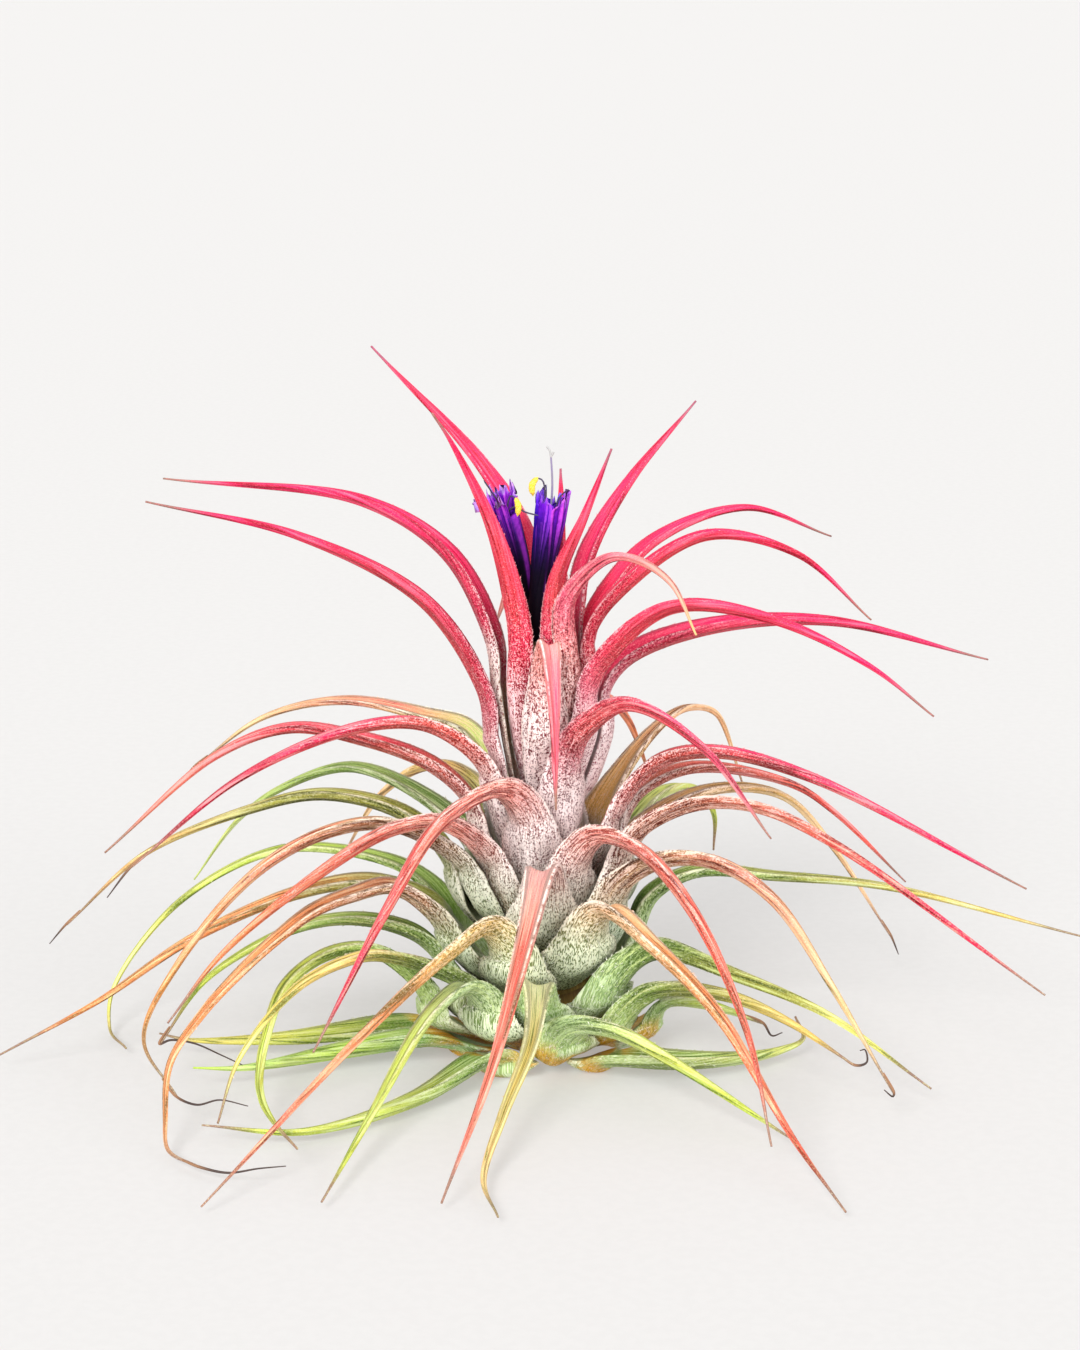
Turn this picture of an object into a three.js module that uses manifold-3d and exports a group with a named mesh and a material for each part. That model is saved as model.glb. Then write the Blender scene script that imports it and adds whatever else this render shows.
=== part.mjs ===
// Sky plant in bloom, an air plant without a pot.
// Millimetres, +Z up, the camera of the photo looks along +Y.
// The origin is the middle of the flat underside of the stem, on the surface the plant stands on.
import * as THREE from 'three';
import Module from 'manifold-3d';

const wasm = await Module();
wasm.setup();

// Sizes

const GAP = 0.32;                 // clearance between one sheath and what lies inside it
const STEM_FOOT_RADIUS = 7;       // flat underside of the stem
const STEM_SIDES = 20;
// radius of the stem core at each height
const STEM_PROFILE = [
  [0, STEM_FOOT_RADIUS], [1.2, 7.6], [8, 7.2], [14, 6], [22, 4.2], [30, 3],
  [40, 2.5], [50, 2.3], [58, 2.9], [60, 2.9],
];
const SEAT_SLOPE = 0.72;          // seat height of a leaf from the height of its shoulder
const SEAT_DROP = 4.5;
const LOWEST_SEAT = 0.9;
const SHEATH_STEPS = 4;           // rings between seat and shoulder
const SHEATH_SHAPE = [[0, 0.55], [0.25, 0.82], [0.5, 1], [0.75, 0.92], [1, 0.68]];   // share of its width
const SHEATH_BELLY = 1.9;         // 1 is a straight side, more swells out sooner
const BLADE_STEP = 7;             // about one ring every 7 mm of blade
const SHEATH_THICK = [0.6, 0.75, 0.95, 1.1, 1.2];   // seat to shoulder, on a sheath 10 mm wide
const PUSH_FADE = 9;              // how soon a blade is back on its own line, mm
const BLADE_THICK = 1.35;
const TIP_THICK = 0.62;
const BLADE_WIDTH = 5.5;
const TIP_WIDTH = 0.62;
const TAPER = 1.4;                // above 1 a blade narrows sooner
const BLADE_CUP = 68;             // half angle of the channel, degrees
const TIP_CUP = 108;
const CUP_DEPTH = 4.5;            // open mouth of a flower
const TUBE_WALL = 0.65;
const TUBE_SIDES = 12;
const PETAL_THICK = 0.62;
const ROOT_DISC = 0.7;            // disc that the stamens stand on, in the mouth
const THREAD_RADIUS = 0.32;
const PISTIL_OFFSET = 0.42;       // behind the middle of the mouth
const EDGE_THIN = 0.5;            // how much thinner the margins are than the middle

const COLOURS = {
  crown: 0xd0526a, rose: 0xd4697a, coral: 0xdb7a5c, tan: 0xb98a5a,
  green: 0x8e9c62, olive: 0x76843f, lime: 0x9aa84e, stem: 0x8d8358,
  petal: 0x5a2396, pollen: 0xe0b43a, style: 0xc9cdc4,
};

// One row a leaf, youngest first: name, colour, azimuth of the sheath, width of the sheath, then
// the points its midrib passes from the shoulder to the tip, each azimuth, radius, height.
const LEAVES = [
  ['crown_slip', 'crown', 64, 4.5, [[64, 4.6, 68], [64, 5.5, 77], [72, 8, 83.5]]],
  ['crown_back_left', 'crown', 118, 5, [[118, 4.6, 66], [118, 6, 74], [127, 15, 83.5], [136, 35, 98.5]]],
  ['crown_back_right', 'crown', 33, 5, [[33, 5, 65], [34, 8, 72.5], [38, 16.5, 82], [39, 28.5, 91.5]]],
  ['crown_front_right', 'crown', 285, 5, [[285, 5, 62], [290, 5.5, 70], [308, 9, 79.5], [310, 14.5, 90]]],
  ['crown_right', 'crown', 352, 5.5, [[352, 6, 61], [352, 11.5, 68.5], [354, 23, 76], [355, 36, 73.5],
    [356, 46.5, 64]]],
  ['crown_bent', 'rose', 302, 5, [[302, 6, 60], [296, 7.5, 67.5], [308, 14, 74.5], [311, 18.5, 75.5],
    [314, 25, 73], [311, 31.5, 67]]],
  ['crown_front_left', 'crown', 236, 5.5, [[236, 5.5, 60], [230, 6.5, 67], [224, 10, 78.5], [222, 16.5, 90.5],
    [223, 20.5, 95.5]]],
  ['crown_low_right', 'crown', 30, 5.5, [[30, 6, 59], [30, 10, 65.5], [28, 18.5, 73], [26, 33, 76.5],
    [25, 47, 71]]],
  ['front_folded', 'rose', 272, 6.5, [[273, 6.5, 56], [275, 9, 62], [277, 12.3, 54.5], [277, 15, 39.5]]],
  ['upper_left_far', 'crown', 170, 6.5, [[170, 6, 54], [169, 7.5, 60.5], [167, 14, 72], [166, 26.5, 79],
    [164, 57.5, 80.5]]],
  ['upper_right_front', 'crown', 325, 7, [[325, 7, 53], [325, 10.5, 59], [330, 20.5, 67.5], [335, 34.5, 67],
    [337, 48.5, 61.5], [338, 57.5, 55]]],
  ['upper_right_long', 'crown', 8, 7, [[8, 8, 52], [8, 12, 57], [8, 23.5, 61], [8, 42, 61.5], [8, 65.5, 55]]],
  ['back_high', 'rose', 95, 7, [[95, 6.5, 50], [95, 10, 57], [96, 22, 63], [97, 38, 60], [98, 56, 48]]],
  ['upper_left_near', 'crown', 188, 7, [[188, 7, 47], [188, 8.5, 53.5], [188, 17, 66.5], [188, 34.5, 76.5],
    [188, 55.5, 82]]],
  ['right_arch', 'rose', 292, 7.5, [[292, 8, 44], [300, 11, 49.5], [311, 18.5, 54.5], [315, 31.5, 50.5],
    [315, 43.5, 40.5]]],
  ['left_rose_upper', 'rose', 210, 7.5, [[210, 8.5, 42], [206, 14.5, 48], [205, 20, 50.5], [205, 30.5, 50.5],
    [205, 46.5, 45.5], [205, 62, 35]]],
  ['left_brown', 'tan', 140, 8, [[140, 9, 38], [142, 14, 44.5], [148, 20, 46], [152, 33.5, 47],
    [154, 47, 43], [155, 58.5, 34]]],
  ['left_rose_lower', 'rose', 190, 8, [[190, 9.5, 36], [190, 16, 42.5], [190, 26.5, 47], [190, 36.5, 49],
    [190, 47, 45.5], [190, 63, 32]]],
  ['front_left_coral', 'coral', 259, 9, [[257, 9.5, 36.5], [246, 14.5, 42], [237, 25.5, 40], [237, 39, 31],
    [239, 58.5, 17.5]]],
  ['right_thin', 'rose', 12, 8, [[12, 10, 32], [12, 14, 37], [12, 22, 40], [15, 38, 36], [15, 45, 31],
    [15, 56.5, 19]]],
  ['right_tan_high', 'tan', 48, 9.5, [[48, 10, 31], [48, 19, 38.5], [50, 27.5, 42], [52, 36.5, 42.5],
    [52, 44, 39.5], [52, 51.5, 26]]],
  ['back_middle', 'coral', 76, 10, [[76, 10, 34], [76, 17, 41], [75, 30, 44], [73, 46, 36], [72, 58, 22]]],
  ['left_near_rose', 'coral', 229, 9, [[229, 11, 30], [221, 18.5, 36.8], [216, 25.5, 37], [216, 39, 32.5],
    [212, 52, 23], [212, 60.5, 14.5]]],
  ['front_right_salmon', 'coral', 288, 9.5, [[289, 12, 30], [298, 16, 35.5], [304, 24, 35.5],
    [305, 36.5, 29], [303, 50.5, 16.5], [300, 60, 5]]],
  ['left_near_tan', 'tan', 210, 9, [[208, 12, 28.5], [202, 22, 35.2], [202, 30.5, 36], [204, 43, 32],
    [205, 56, 20], [207, 62, 10.5], [213, 60, 4]]],
  ['right_long_rose', 'rose', 345, 9, [[345, 10, 35], [350, 16.5, 43], [350, 24.5, 45], [350, 38.5, 42],
    [350, 69.5, 27]]],
  ['left_back_green', 'green', 153, 9, [[153, 11, 28], [155, 19.5, 34.5], [158, 30.5, 38],
    [160, 41.5, 34], [161, 48.5, 28.5], [162, 55.5, 18.5]]],
  ['right_long_coral', 'coral', 325, 9.5, [[325, 12, 29], [330, 15.5, 34.5], [335, 23.5, 39],
    [337, 32.5, 39.5], [338, 44.5, 35], [338, 74.5, 17]]],
  ['left_long_olive', 'olive', 179, 9.5, [[179, 12, 27], [178, 19.5, 34], [178, 31.5, 37], [178, 43, 34.5],
    [178, 58.5, 27.5], [178, 70, 16.5]]],
  ['right_tan_low', 'tan', 20, 11, [[20, 12, 27], [20, 19.5, 33.5], [20, 28, 35.5], [21, 38.5, 33],
    [22, 47.5, 23.5], [22, 57.5, 8]]],
  ['back_lower', 'tan', 118, 12.5, [[118, 12, 24], [118, 20, 32], [119, 34, 33], [121, 50, 24],
    [122, 62, 10]]],
  ['front_long', 'coral', 271, 11, [[271, 13, 26], [270, 16, 31], [265, 26, 25], [261, 44.5, 12.5],
    [258, 63, 1.4]]],
  ['right_pale_hump', 'green', 48, 13, [[48, 13, 22], [50, 22, 29], [55, 35.5, 29.5], [55, 42.5, 27],
    [56, 48.5, 21.5], [58, 51.5, 14.5]]],
  ['right_hooked', 'tan', 311, 12.5, [[311, 13.5, 23], [313, 17, 28.5], [319, 23, 32.5], [323, 30.5, 33],
    [325, 39, 29], [325, 48.5, 18.5], [325, 58.5, 5]]],
  ['left_near_hook', 'tan', 210, 11, [[210, 14, 19.5], [210, 18, 23.5], [210, 24, 27.5], [211, 31, 27.5],
    [212, 37.5, 26.5], [213, 43.5, 24], [214, 50, 20.5], [215, 57, 15.8], [216, 62.5, 10.5], [219, 65.5, 4],
    [222, 67.5, 1.6], [228, 68, 1.5]]],
  ['left_far_olive', 'olive', 187, 11, [[187, 14, 19.8], [189, 24.5, 25.2], [190, 35.5, 24.5], [190, 51, 18.5],
    [190, 64.5, 10], [190, 79, 2.5]]],
  ['front_right_orange', 'tan', 293, 12, [[294, 14.5, 20.5], [298, 18.5, 25.5], [302, 28.5, 23],
    [305, 41.5, 16.5], [303, 60, 6], [301, 75, 1.4]]],
  ['front_left_orange', 'tan', 254, 11, [[252, 15, 18], [245, 18.5, 23], [239, 26.5, 21], [237, 47.5, 14.5],
    [235, 76.5, 1.4]]],
  ['right_far', 'green', 0, 12, [[0, 13, 17], [0, 15.5, 22], [358, 22, 26], [358, 34, 25.5], [358, 50, 24],
    [358, 78.5, 16.5]]],
  ['left_back_hook', 'lime', 158, 12, [[160, 13.5, 16], [160, 18, 22], [164, 24, 25.4], [168, 39.5, 26.5],
    [171, 55, 18], [176, 64, 6], [180, 64, 1.4], [188, 61, 1.4]]],
  ['back_low', 'olive', 92, 14, [[92, 14, 12], [92, 22, 19], [92, 36, 20], [91, 52, 12], [90, 66, 2]]],
  ['left_lime', 'lime', 208, 11, [[207, 15.5, 9], [205, 20, 13.5], [203, 26, 17.5], [204, 33, 18],
    [207, 40.5, 15], [213, 46, 9.5], [217, 49, 6.2], [223, 52.5, 5.1], [231, 57, 5], [238, 61, 4.6]]],
  ['left_kinked', 'olive', 199, 11, [[199, 14.5, 14], [198, 19.5, 18.5], [198, 28.5, 21.5], [199, 38, 21],
    [200, 50.5, 15.5], [200, 57.5, 6.5]]],
  ['left_yellow', 'lime', 226, 10, [[226, 15, 11.4], [224, 22, 16.5], [222, 31.5, 20.5], [221, 37, 20.5],
    [221, 44, 19], [221, 50.5, 15], [222, 56, 10.5], [223, 60, 3.5]]],
  ['front_left_low', 'lime', 244, 10, [[243, 15.5, 10.6], [241, 21, 15], [239, 30, 13.5], [241, 48, 5],
    [245, 67.5, 1.4]]],
  ['front_low', 'lime', 264, 12, [[264, 16, 11.6], [267, 18.5, 15], [267, 31, 11.5], [263, 44.5, 6],
    [262, 55.5, 2], [265, 66, 1.4]]],
  ['right_lime', 'lime', 307, 12.5, [[310, 15, 12], [321, 17, 16], [330, 19.5, 17], [332, 30.5, 15],
    [333, 45.5, 11], [333, 60.5, 3]]],
  ['front_right_low', 'lime', 279, 11, [[280, 16, 6.6], [284, 20.5, 9.6], [292, 26, 10.5], [300, 35, 8.5],
    [309, 54.5, 1.4]]],
  ['right_curled', 'olive', 311, 11, [[311, 16, 7], [316, 19.5, 11], [318, 22.5, 13], [322, 32.5, 14],
    [324, 42, 12], [325, 52.5, 7.5]]],
  ['right_short', 'green', 338, 10.5, [[338, 15, 5.5], [338, 18.5, 8.5], [342, 27.5, 7.5], [342, 33, 6]]],
  ['left_foot_near', 'green', 218, 9, [[216, 15.5, 3.2], [211, 20, 3.6], [206, 32, 3], [205, 46.5, 3],
    [203, 53.5, 3.5]]],
  ['front_foot', 'green', 248, 11, [[248, 16.5, 2.8], [246, 19, 3.8], [239, 33.5, 2.2], [231, 51, 2],
    [221, 61, 3]]],
  ['left_foot_far', 'olive', 191, 9, [[191, 15.5, 2.6], [192, 20, 3], [192, 35.5, 2.5], [191, 43, 2.5],
    [190, 52, 3], [188, 56, 3.5]]],
  ['right_foot', 'green', 300, 9, [[300, 16.5, 2.4], [304, 21, 3.4], [318, 26, 2.8], [333, 32, 2.2],
    [343, 36, 2], [348, 38.5, 2.8], [352, 37, 5]]],
];

// Blades slenderer or fuller than the rest, and how much
const FULLNESS = {
  crown_back_left: 1.55, crown_back_right: 1.75, crown_front_right: 1.15, crown_right: 1.65,
  crown_bent: 1.5, crown_front_left: 1.5, crown_low_right: 1.45, upper_left_far: 1.75,
  upper_left_near: 1.5, upper_right_front: 1.45, upper_right_long: 1.6, back_high: 1.2,
  right_arch: 1.2, right_long_coral: 0.8, right_far: 0.55, right_tan_high: 0.6, right_tan_low: 0.6,
  right_thin: 0.8, left_brown: 0.85, left_back_green: 0.75, left_far_olive: 0.8,
  left_long_olive: 0.8, left_near_tan: 0.85, left_back_hook: 0.45, left_lime: 0.75,
  left_yellow: 0.8, left_kinked: 0.8, front_long: 0.75, front_right_orange: 0.8,
  front_left_orange: 0.7, front_low: 0.58, front_left_low: 0.68, right_lime: 0.75,
  right_curled: 1.15, back_low: 0.85, back_lower: 0.85, back_middle: 0.85, left_foot_near: 1.6,
  left_foot_far: 1.3, right_foot: 1.6, front_foot: 1.1, left_rose_lower: 1.1, left_near_hook: 0.8,
  front_right_salmon: 0.85, right_long_rose: 0.9,
};

// Small helpers

const radians = (degrees) => degrees * Math.PI / 180;
const mix = (a, b, t) => a + (b - a) * t;

function bodyFrom(name, geometry, colour, roughness = 0.75) {
  const material = new THREE.MeshStandardMaterial({ color: colour, roughness, metalness: 0 });
  const mesh = new THREE.Mesh(geometry, material);
  mesh.name = name;
  return mesh;
}

function along(table, x) {
  // straight-line reading of a table of [x, value]
  if (x <= table[0][0]) return table[0][1];
  for (let i = 1; i < table.length; i += 1) {
    const [x0, y0] = table[i - 1];
    const [x1, y1] = table[i];
    if (x <= x1) return mix(y0, y1, (x - x0) / (x1 - x0));
  }
  return table[table.length - 1][1];
}

function fromCylinder([azimuth, radius, height]) {
  const a = radians(azimuth);
  return new THREE.Vector3(radius * Math.cos(a), radius * Math.sin(a), height);
}

function turnBetween(a, b) {
  // signed difference of two azimuths, -180 to 180
  return ((a - b + 540) % 360) - 180;
}

// Stem

function stemGeometry() {
  const profile = [new THREE.Vector2(0, 0)];
  for (const [height, radius] of STEM_PROFILE) {
    profile.push(new THREE.Vector2(radius, height));
  }
  const top = STEM_PROFILE[STEM_PROFILE.length - 1][0];
  profile.push(new THREE.Vector2(0, top));
  const geometry = new THREE.LatheGeometry(profile, STEM_SIDES);
  geometry.rotateX(Math.PI / 2);
  return geometry;
}

// Sheaths in layers

// Every sheath placed so far, as the outer radius it reaches at each height.
const placed = [];

function radiusTaken(azimuth, height) {
  // outer radius of the column built so far at one azimuth and height
  let radius = along(STEM_PROFILE, height);
  for (const sheath of placed) {
    const off = Math.abs(turnBetween(azimuth, sheath.azimuth));
    if (height < sheath.bottom - 1 || height > sheath.top + 1) continue;
    const halfTurn = along(sheath.halfTurn, height);
    if (off > halfTurn + 4) continue;
    const share = Math.min(1, off / halfTurn);
    const inner = along(sheath.inner, height);
    const thick = along(sheath.thick, height) * (1 - EDGE_THIN * share * share);
    radius = Math.max(radius, inner + thick);
  }
  return radius;
}

function sheathRings(azimuth, width, shoulder) {
  // inner radius of the new sheath at its rings, clear of all that it wraps round
  const [, reach, top] = shoulder;
  const bottom = Math.max(LOWEST_SEAT, SEAT_SLOPE * top - SEAT_DROP);
  // a sheath that leans far out needs more room across, for its own thickness and the gap
  const lean = Math.atan2(reach - along(STEM_PROFILE, bottom) - 1, top - bottom);
  const slant = Math.min(3, 1 / Math.cos(lean));
  const rings = [];
  for (let i = 0; i <= SHEATH_STEPS; i += 1) {
    const share = i / SHEATH_STEPS;
    const height = mix(bottom, top, share);
    let radius = along(STEM_PROFILE, height);
    const likely = mix(radius + 1, reach, share);
    const ringWidth = Math.min(width * along(SHEATH_SHAPE, share), 1.2 * likely);
    const halfTurn = ringWidth / 2 / likely * 180 / Math.PI;
    for (const offset of [-1, -0.6, -0.25, 0, 0.25, 0.6, 1]) {
      radius = Math.max(radius, radiusTaken(azimuth + offset * halfTurn, height));
    }
    const thick = SHEATH_THICK[i] * mix(0.55, 1, width / 10);
    const seatRadius = along(STEM_PROFILE, bottom) + GAP * slant;
    const belly = mix(seatRadius, reach - 0.4, 1 - Math.pow(1 - share, SHEATH_BELLY));
    const clear = Math.max(radius + GAP * slant, i > 0 ? belly : 0);
    rings.push({ height, radius: clear, width: ringWidth, thick });
  }
  const last = rings[SHEATH_STEPS];
  last.radius = Math.max(last.radius, reach);
  // no ring stands in by more than its neighbours allow, so the sheath stays one smooth shell
  for (let i = SHEATH_STEPS - 1; i > 0; i -= 1) {
    const between = (rings[i - 1].radius + rings[i + 1].radius) / 2;
    rings[i].radius = Math.max(rings[i].radius, between - 0.15);
  }
  return rings;
}

function remember(azimuth, rings) {
  placed.push({
    azimuth,
    halfTurn: rings.map((ring) => [ring.height, ring.width / 2 / ring.radius * 180 / Math.PI]),
    bottom: rings[0].height,
    top: rings[rings.length - 1].height,
    inner: rings.map((ring) => [ring.height, ring.radius]),
    thick: rings.map((ring, i) => {
      const [below, above] = [rings[Math.max(0, i - 1)], rings[Math.min(SHEATH_STEPS, i + 1)]];
      const rise = above.height - below.height;
      const slant = Math.min(3, Math.hypot(above.radius - below.radius, rise) / rise);
      return [ring.height, ring.thick * slant];
    }),
  });
}

// One leaf

function ringPoints(centre, inward, side, width, cup, thick, sunk = 0) {
  // outer arc of five points, then three inner points, round the channel of the leaf
  const bend = width / 2 / Math.sin(Math.min(cup, Math.PI / 2)) - sunk;
  const points = [];
  for (const share of [-1, -0.5, 0, 0.5, 1]) {
    const a = share * cup;
    const reach = bend + thick * (1 - EDGE_THIN * share * share);
    points.push(centre.clone()
      .addScaledVector(inward, bend - reach * Math.cos(a))
      .addScaledVector(side, reach * Math.sin(a)));
  }
  for (const share of [0.84, 0, -0.84]) {
    const a = share * cup;
    points.push(centre.clone()
      .addScaledVector(inward, bend - bend * Math.cos(a))
      .addScaledVector(side, bend * Math.sin(a)));
  }
  return points;
}

function leafRings(row) {
  const [name, , azimuth, width, path] = row;
  const sheath = sheathRings(azimuth, width, path[0]);
  remember(azimuth, sheath);

  // the midrib: straight up the sheath, then through the points of the row
  const stations = sheath.map((ring) => ({
    point: fromCylinder([azimuth, ring.radius, ring.height]),
    width: ring.width,
    thick: ring.thick,
    cup: ring.width / 2 / ring.radius,
  }));
  // where the layers below push the shoulder out, the start of the blade follows, less and less
  const push = sheath[SHEATH_STEPS].radius - path[0][1];
  for (const [turn, reach, height] of path.slice(1)) {
    const away = fromCylinder([turn, reach, height]).distanceTo(fromCylinder(path[0]));
    const shift = push * Math.exp(-away / PUSH_FADE);
    stations.push({ point: fromCylinder([turn, reach + shift, height]) });
  }
  const curve = new THREE.CatmullRomCurve3(stations.map((s) => s.point), false, 'centripetal');
  const last = stations.length - 1;

  // where the rings stand along the curve
  const where = [];
  for (let i = 0; i < last; i += 1) {
    const length = stations[i].point.distanceTo(stations[i + 1].point);
    const steps = i < SHEATH_STEPS ? 1 : Math.min(4, Math.max(1, Math.round(length / BLADE_STEP)));
    for (let k = 0; k < steps; k += 1) where.push(i + k / steps);
  }
  where.push(last);

  const spots = where.map((u) => curve.getPoint(u / last));
  const tangents = where.map((u) => curve.getTangent(u / last));

  // the inner face of a sheath looks at the stem, and the frame is carried along from there
  const a = radians(azimuth);
  const side = new THREE.Vector3(-Math.sin(a), Math.cos(a), 0);
  const inward = new THREE.Vector3().crossVectors(tangents[0], side).normalize();
  if (inward.x * Math.cos(a) + inward.y * Math.sin(a) > 0) inward.negate();
  const rings = [];
  let travelled = 0;
  let bladeLength = 0;
  for (let i = 1; i < spots.length; i += 1) {
    if (where[i] > SHEATH_STEPS) bladeLength += spots[i].distanceTo(spots[i - 1]);
  }
  for (let i = 0; i < spots.length; i += 1) {
    if (i > 0) {
      const turn = new THREE.Quaternion().setFromUnitVectors(tangents[i - 1], tangents[i]);
      inward.applyQuaternion(turn);
      side.applyQuaternion(turn);
    }
    let ring;
    if (where[i] <= SHEATH_STEPS) {
      const s = stations[where[i]];
      ring = { width: s.width, thick: s.thick, cup: s.cup };
    } else {
      travelled += spots[i].distanceTo(spots[i - 1]);
      const t = travelled / bladeLength;
      const fade = Math.pow(1 - t, TAPER);
      const startWidth = stations[SHEATH_STEPS].width;
      const narrow = Math.exp(-travelled / 6);
      const blade = Math.min(BLADE_WIDTH, width * 0.6) * (FULLNESS[name] ?? 1);
      ring = {
        width: mix(TIP_WIDTH, mix(blade, startWidth, narrow), fade),
        thick: mix(TIP_THICK * 0.55, BLADE_THICK * mix(0.6, 1, width / 10), Math.sqrt(fade)),
        cup: radians(mix(TIP_CUP, BLADE_CUP, Math.pow(1 - t, 0.5))),
      };
      ring.cup = mix(ring.cup, stations[SHEATH_STEPS].cup, Math.exp(-travelled / 4));
      ring.sunk = ring.thick / 2 * (1 - Math.exp(-travelled / 4));
    }
    rings.push(ringPoints(spots[i], inward, side, ring.width, ring.cup, ring.thick, ring.sunk));
  }
  return rings;
}

function closedLoft(rings) {
  // closed body through rings of equal count, with a flat cap at each end
  const sides = rings[0].length;
  const positions = [];
  for (const ring of rings) {
    for (const point of ring) positions.push(point.x, point.y, point.z);
  }
  const index = [];
  for (let i = 0; i + 1 < rings.length; i += 1) {
    for (let k = 0; k < sides; k += 1) {
      const a = i * sides + k;
      const b = i * sides + (k + 1) % sides;
      index.push(a, b, b + sides, a, b + sides, a + sides);
    }
  }
  const end = (rings.length - 1) * sides;
  // caps as strips between the outer arc and the inner points
  const cap = [[0, 1, 7], [1, 2, 7], [2, 6, 7], [2, 3, 5], [2, 5, 6], [3, 4, 5]];
  for (const [p, q, r] of cap) {
    index.push(p, r, q);
    index.push(end + p, end + q, end + r);
  }
  const geometry = new THREE.BufferGeometry();
  geometry.setAttribute('position', new THREE.Float32BufferAttribute(positions, 3));
  geometry.setIndex(index);
  geometry.computeVertexNormals();
  return geometry;
}

function volumeOf(geometry) {
  const p = geometry.getAttribute('position');
  const index = geometry.getIndex().array;
  const [a, b, c] = [new THREE.Vector3(), new THREE.Vector3(), new THREE.Vector3()];
  let volume = 0;
  for (let i = 0; i < index.length; i += 3) {
    a.fromBufferAttribute(p, index[i]);
    b.fromBufferAttribute(p, index[i + 1]);
    c.fromBufferAttribute(p, index[i + 2]);
    volume += a.dot(b.clone().cross(c)) / 6;
  }
  return volume;
}

function facingOut(geometry) {
  if (volumeOf(geometry) > 0) return geometry;
  const index = geometry.getIndex();
  for (let i = 0; i < index.count; i += 3) {
    const keep = index.getX(i + 1);
    index.setX(i + 1, index.getX(i + 2));
    index.setX(i + 2, keep);
  }
  geometry.computeVertexNormals();
  return geometry;
}

// Flowers

function curveThrough(points) {
  return new THREE.CatmullRomCurve3(points.map((p) => new THREE.Vector3(...p)), false, 'centripetal');
}

function spunAlong(curve, profile, sides) {
  // a round body along a curve: profile rows are radius and share of the curve, radius 0 at both ends
  const positions = [];
  const index = [];
  let before = curve.getTangentAt(0);
  const side = new THREE.Vector3(0, 1, 0).cross(before).normalize();
  const ahead = new THREE.Vector3().crossVectors(before, side);
  for (const [radius, share] of profile) {
    const tangent = curve.getTangentAt(share);
    const turn = new THREE.Quaternion().setFromUnitVectors(before, tangent);
    side.applyQuaternion(turn);
    ahead.applyQuaternion(turn);
    before = tangent;
    const centre = curve.getPointAt(share);
    const count = radius === 0 ? 1 : sides;
    for (let k = 0; k < count; k += 1) {
      const a = 2 * Math.PI * k / sides;
      const point = centre.clone()
        .addScaledVector(side, radius * Math.cos(a))
        .addScaledVector(ahead, radius * Math.sin(a));
      positions.push(point.x, point.y, point.z);
    }
  }
  const ringStart = (i) => (i === 0 ? 0 : 1 + (i - 1) * sides);
  for (let k = 0; k < sides; k += 1) {
    const next = (k + 1) % sides;
    index.push(0, ringStart(1) + next, ringStart(1) + k);
    for (let i = 1; i + 2 < profile.length; i += 1) {
      const [a, b] = [ringStart(i) + k, ringStart(i) + next];
      const [c, d] = [ringStart(i + 1) + k, ringStart(i + 1) + next];
      index.push(a, b, d, a, d, c);
    }
    const lastRing = ringStart(profile.length - 2);
    index.push(lastRing + k, lastRing + next, ringStart(profile.length - 1));
  }
  const geometry = new THREE.BufferGeometry();
  geometry.setAttribute('position', new THREE.Float32BufferAttribute(positions, 3));
  geometry.setIndex(index);
  return facingOut(geometry);
}

function toManifold(geometry) {
  return new wasm.Manifold(new wasm.Mesh({
    numProp: 3,
    vertProperties: new Float32Array(geometry.getAttribute('position').array),
    triVerts: new Uint32Array(geometry.getIndex().array),
  }));
}

function fused(geometries) {
  let whole = toManifold(geometries[0]);
  for (const geometry of geometries.slice(1)) whole = whole.add(toManifold(geometry));
  const mesh = whole.getMesh();
  const geometry = new THREE.BufferGeometry();
  geometry.setAttribute('position', new THREE.Float32BufferAttribute(mesh.vertProperties, 3));
  geometry.setIndex(new THREE.Uint32BufferAttribute(mesh.triVerts, 1));
  geometry.computeVertexNormals();
  return geometry;
}

function flowerTube(bloom) {
  // violet tube with an open mouth
  const { axis, baseRadius, mouthRadius } = bloom;
  const deep = 1 - CUP_DEPTH / axis.getLength();
  const profile = [
    [0, 0], [baseRadius, 0], [baseRadius * 1.06, 0.3], [mix(baseRadius, mouthRadius, 0.5), 0.65],
    [mouthRadius, 1], [mouthRadius - TUBE_WALL, 1], [mouthRadius - TUBE_WALL - 0.1, deep], [0, deep],
  ];
  return spunAlong(axis, profile, TUBE_SIDES);
}

function petalLobe(bloom, azimuth, height, flare, width) {
  // one torn lobe of a petal, rooted deep in the wall of the tube
  const mouth = bloom.axis.getPointAt(1);
  const up = bloom.axis.getTangentAt(1);
  const side0 = new THREE.Vector3(0, 1, 0).cross(up).normalize();
  const ahead = new THREE.Vector3().crossVectors(up, side0);
  const a = radians(azimuth);
  const out = side0.clone().multiplyScalar(Math.cos(a)).addScaledVector(ahead, Math.sin(a));
  const across = new THREE.Vector3().crossVectors(up, out);
  const wall = bloom.mouthRadius - TUBE_WALL;
  const rings = [];
  for (const [share, spread] of [[-0.35, 0.9], [0.15, 1], [0.5, 0.95], [0.8, 0.6], [1, 0.22]]) {
    const reach = wall + flare * Math.max(0, share) ** 2;
    const lean = Math.atan2(2 * flare * Math.max(0, share), height);
    const centre = mouth.clone().addScaledVector(up, share * height).addScaledVector(out, reach);
    const inward = out.clone().multiplyScalar(-Math.cos(lean)).addScaledVector(up, Math.sin(lean));
    const cup = Math.min(0.75, width * spread / 2 / (wall + 0.6));
    rings.push(ringPoints(centre, inward, across, width * spread, cup, PETAL_THICK));
  }
  return facingOut(closedLoft(rings));
}

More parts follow.
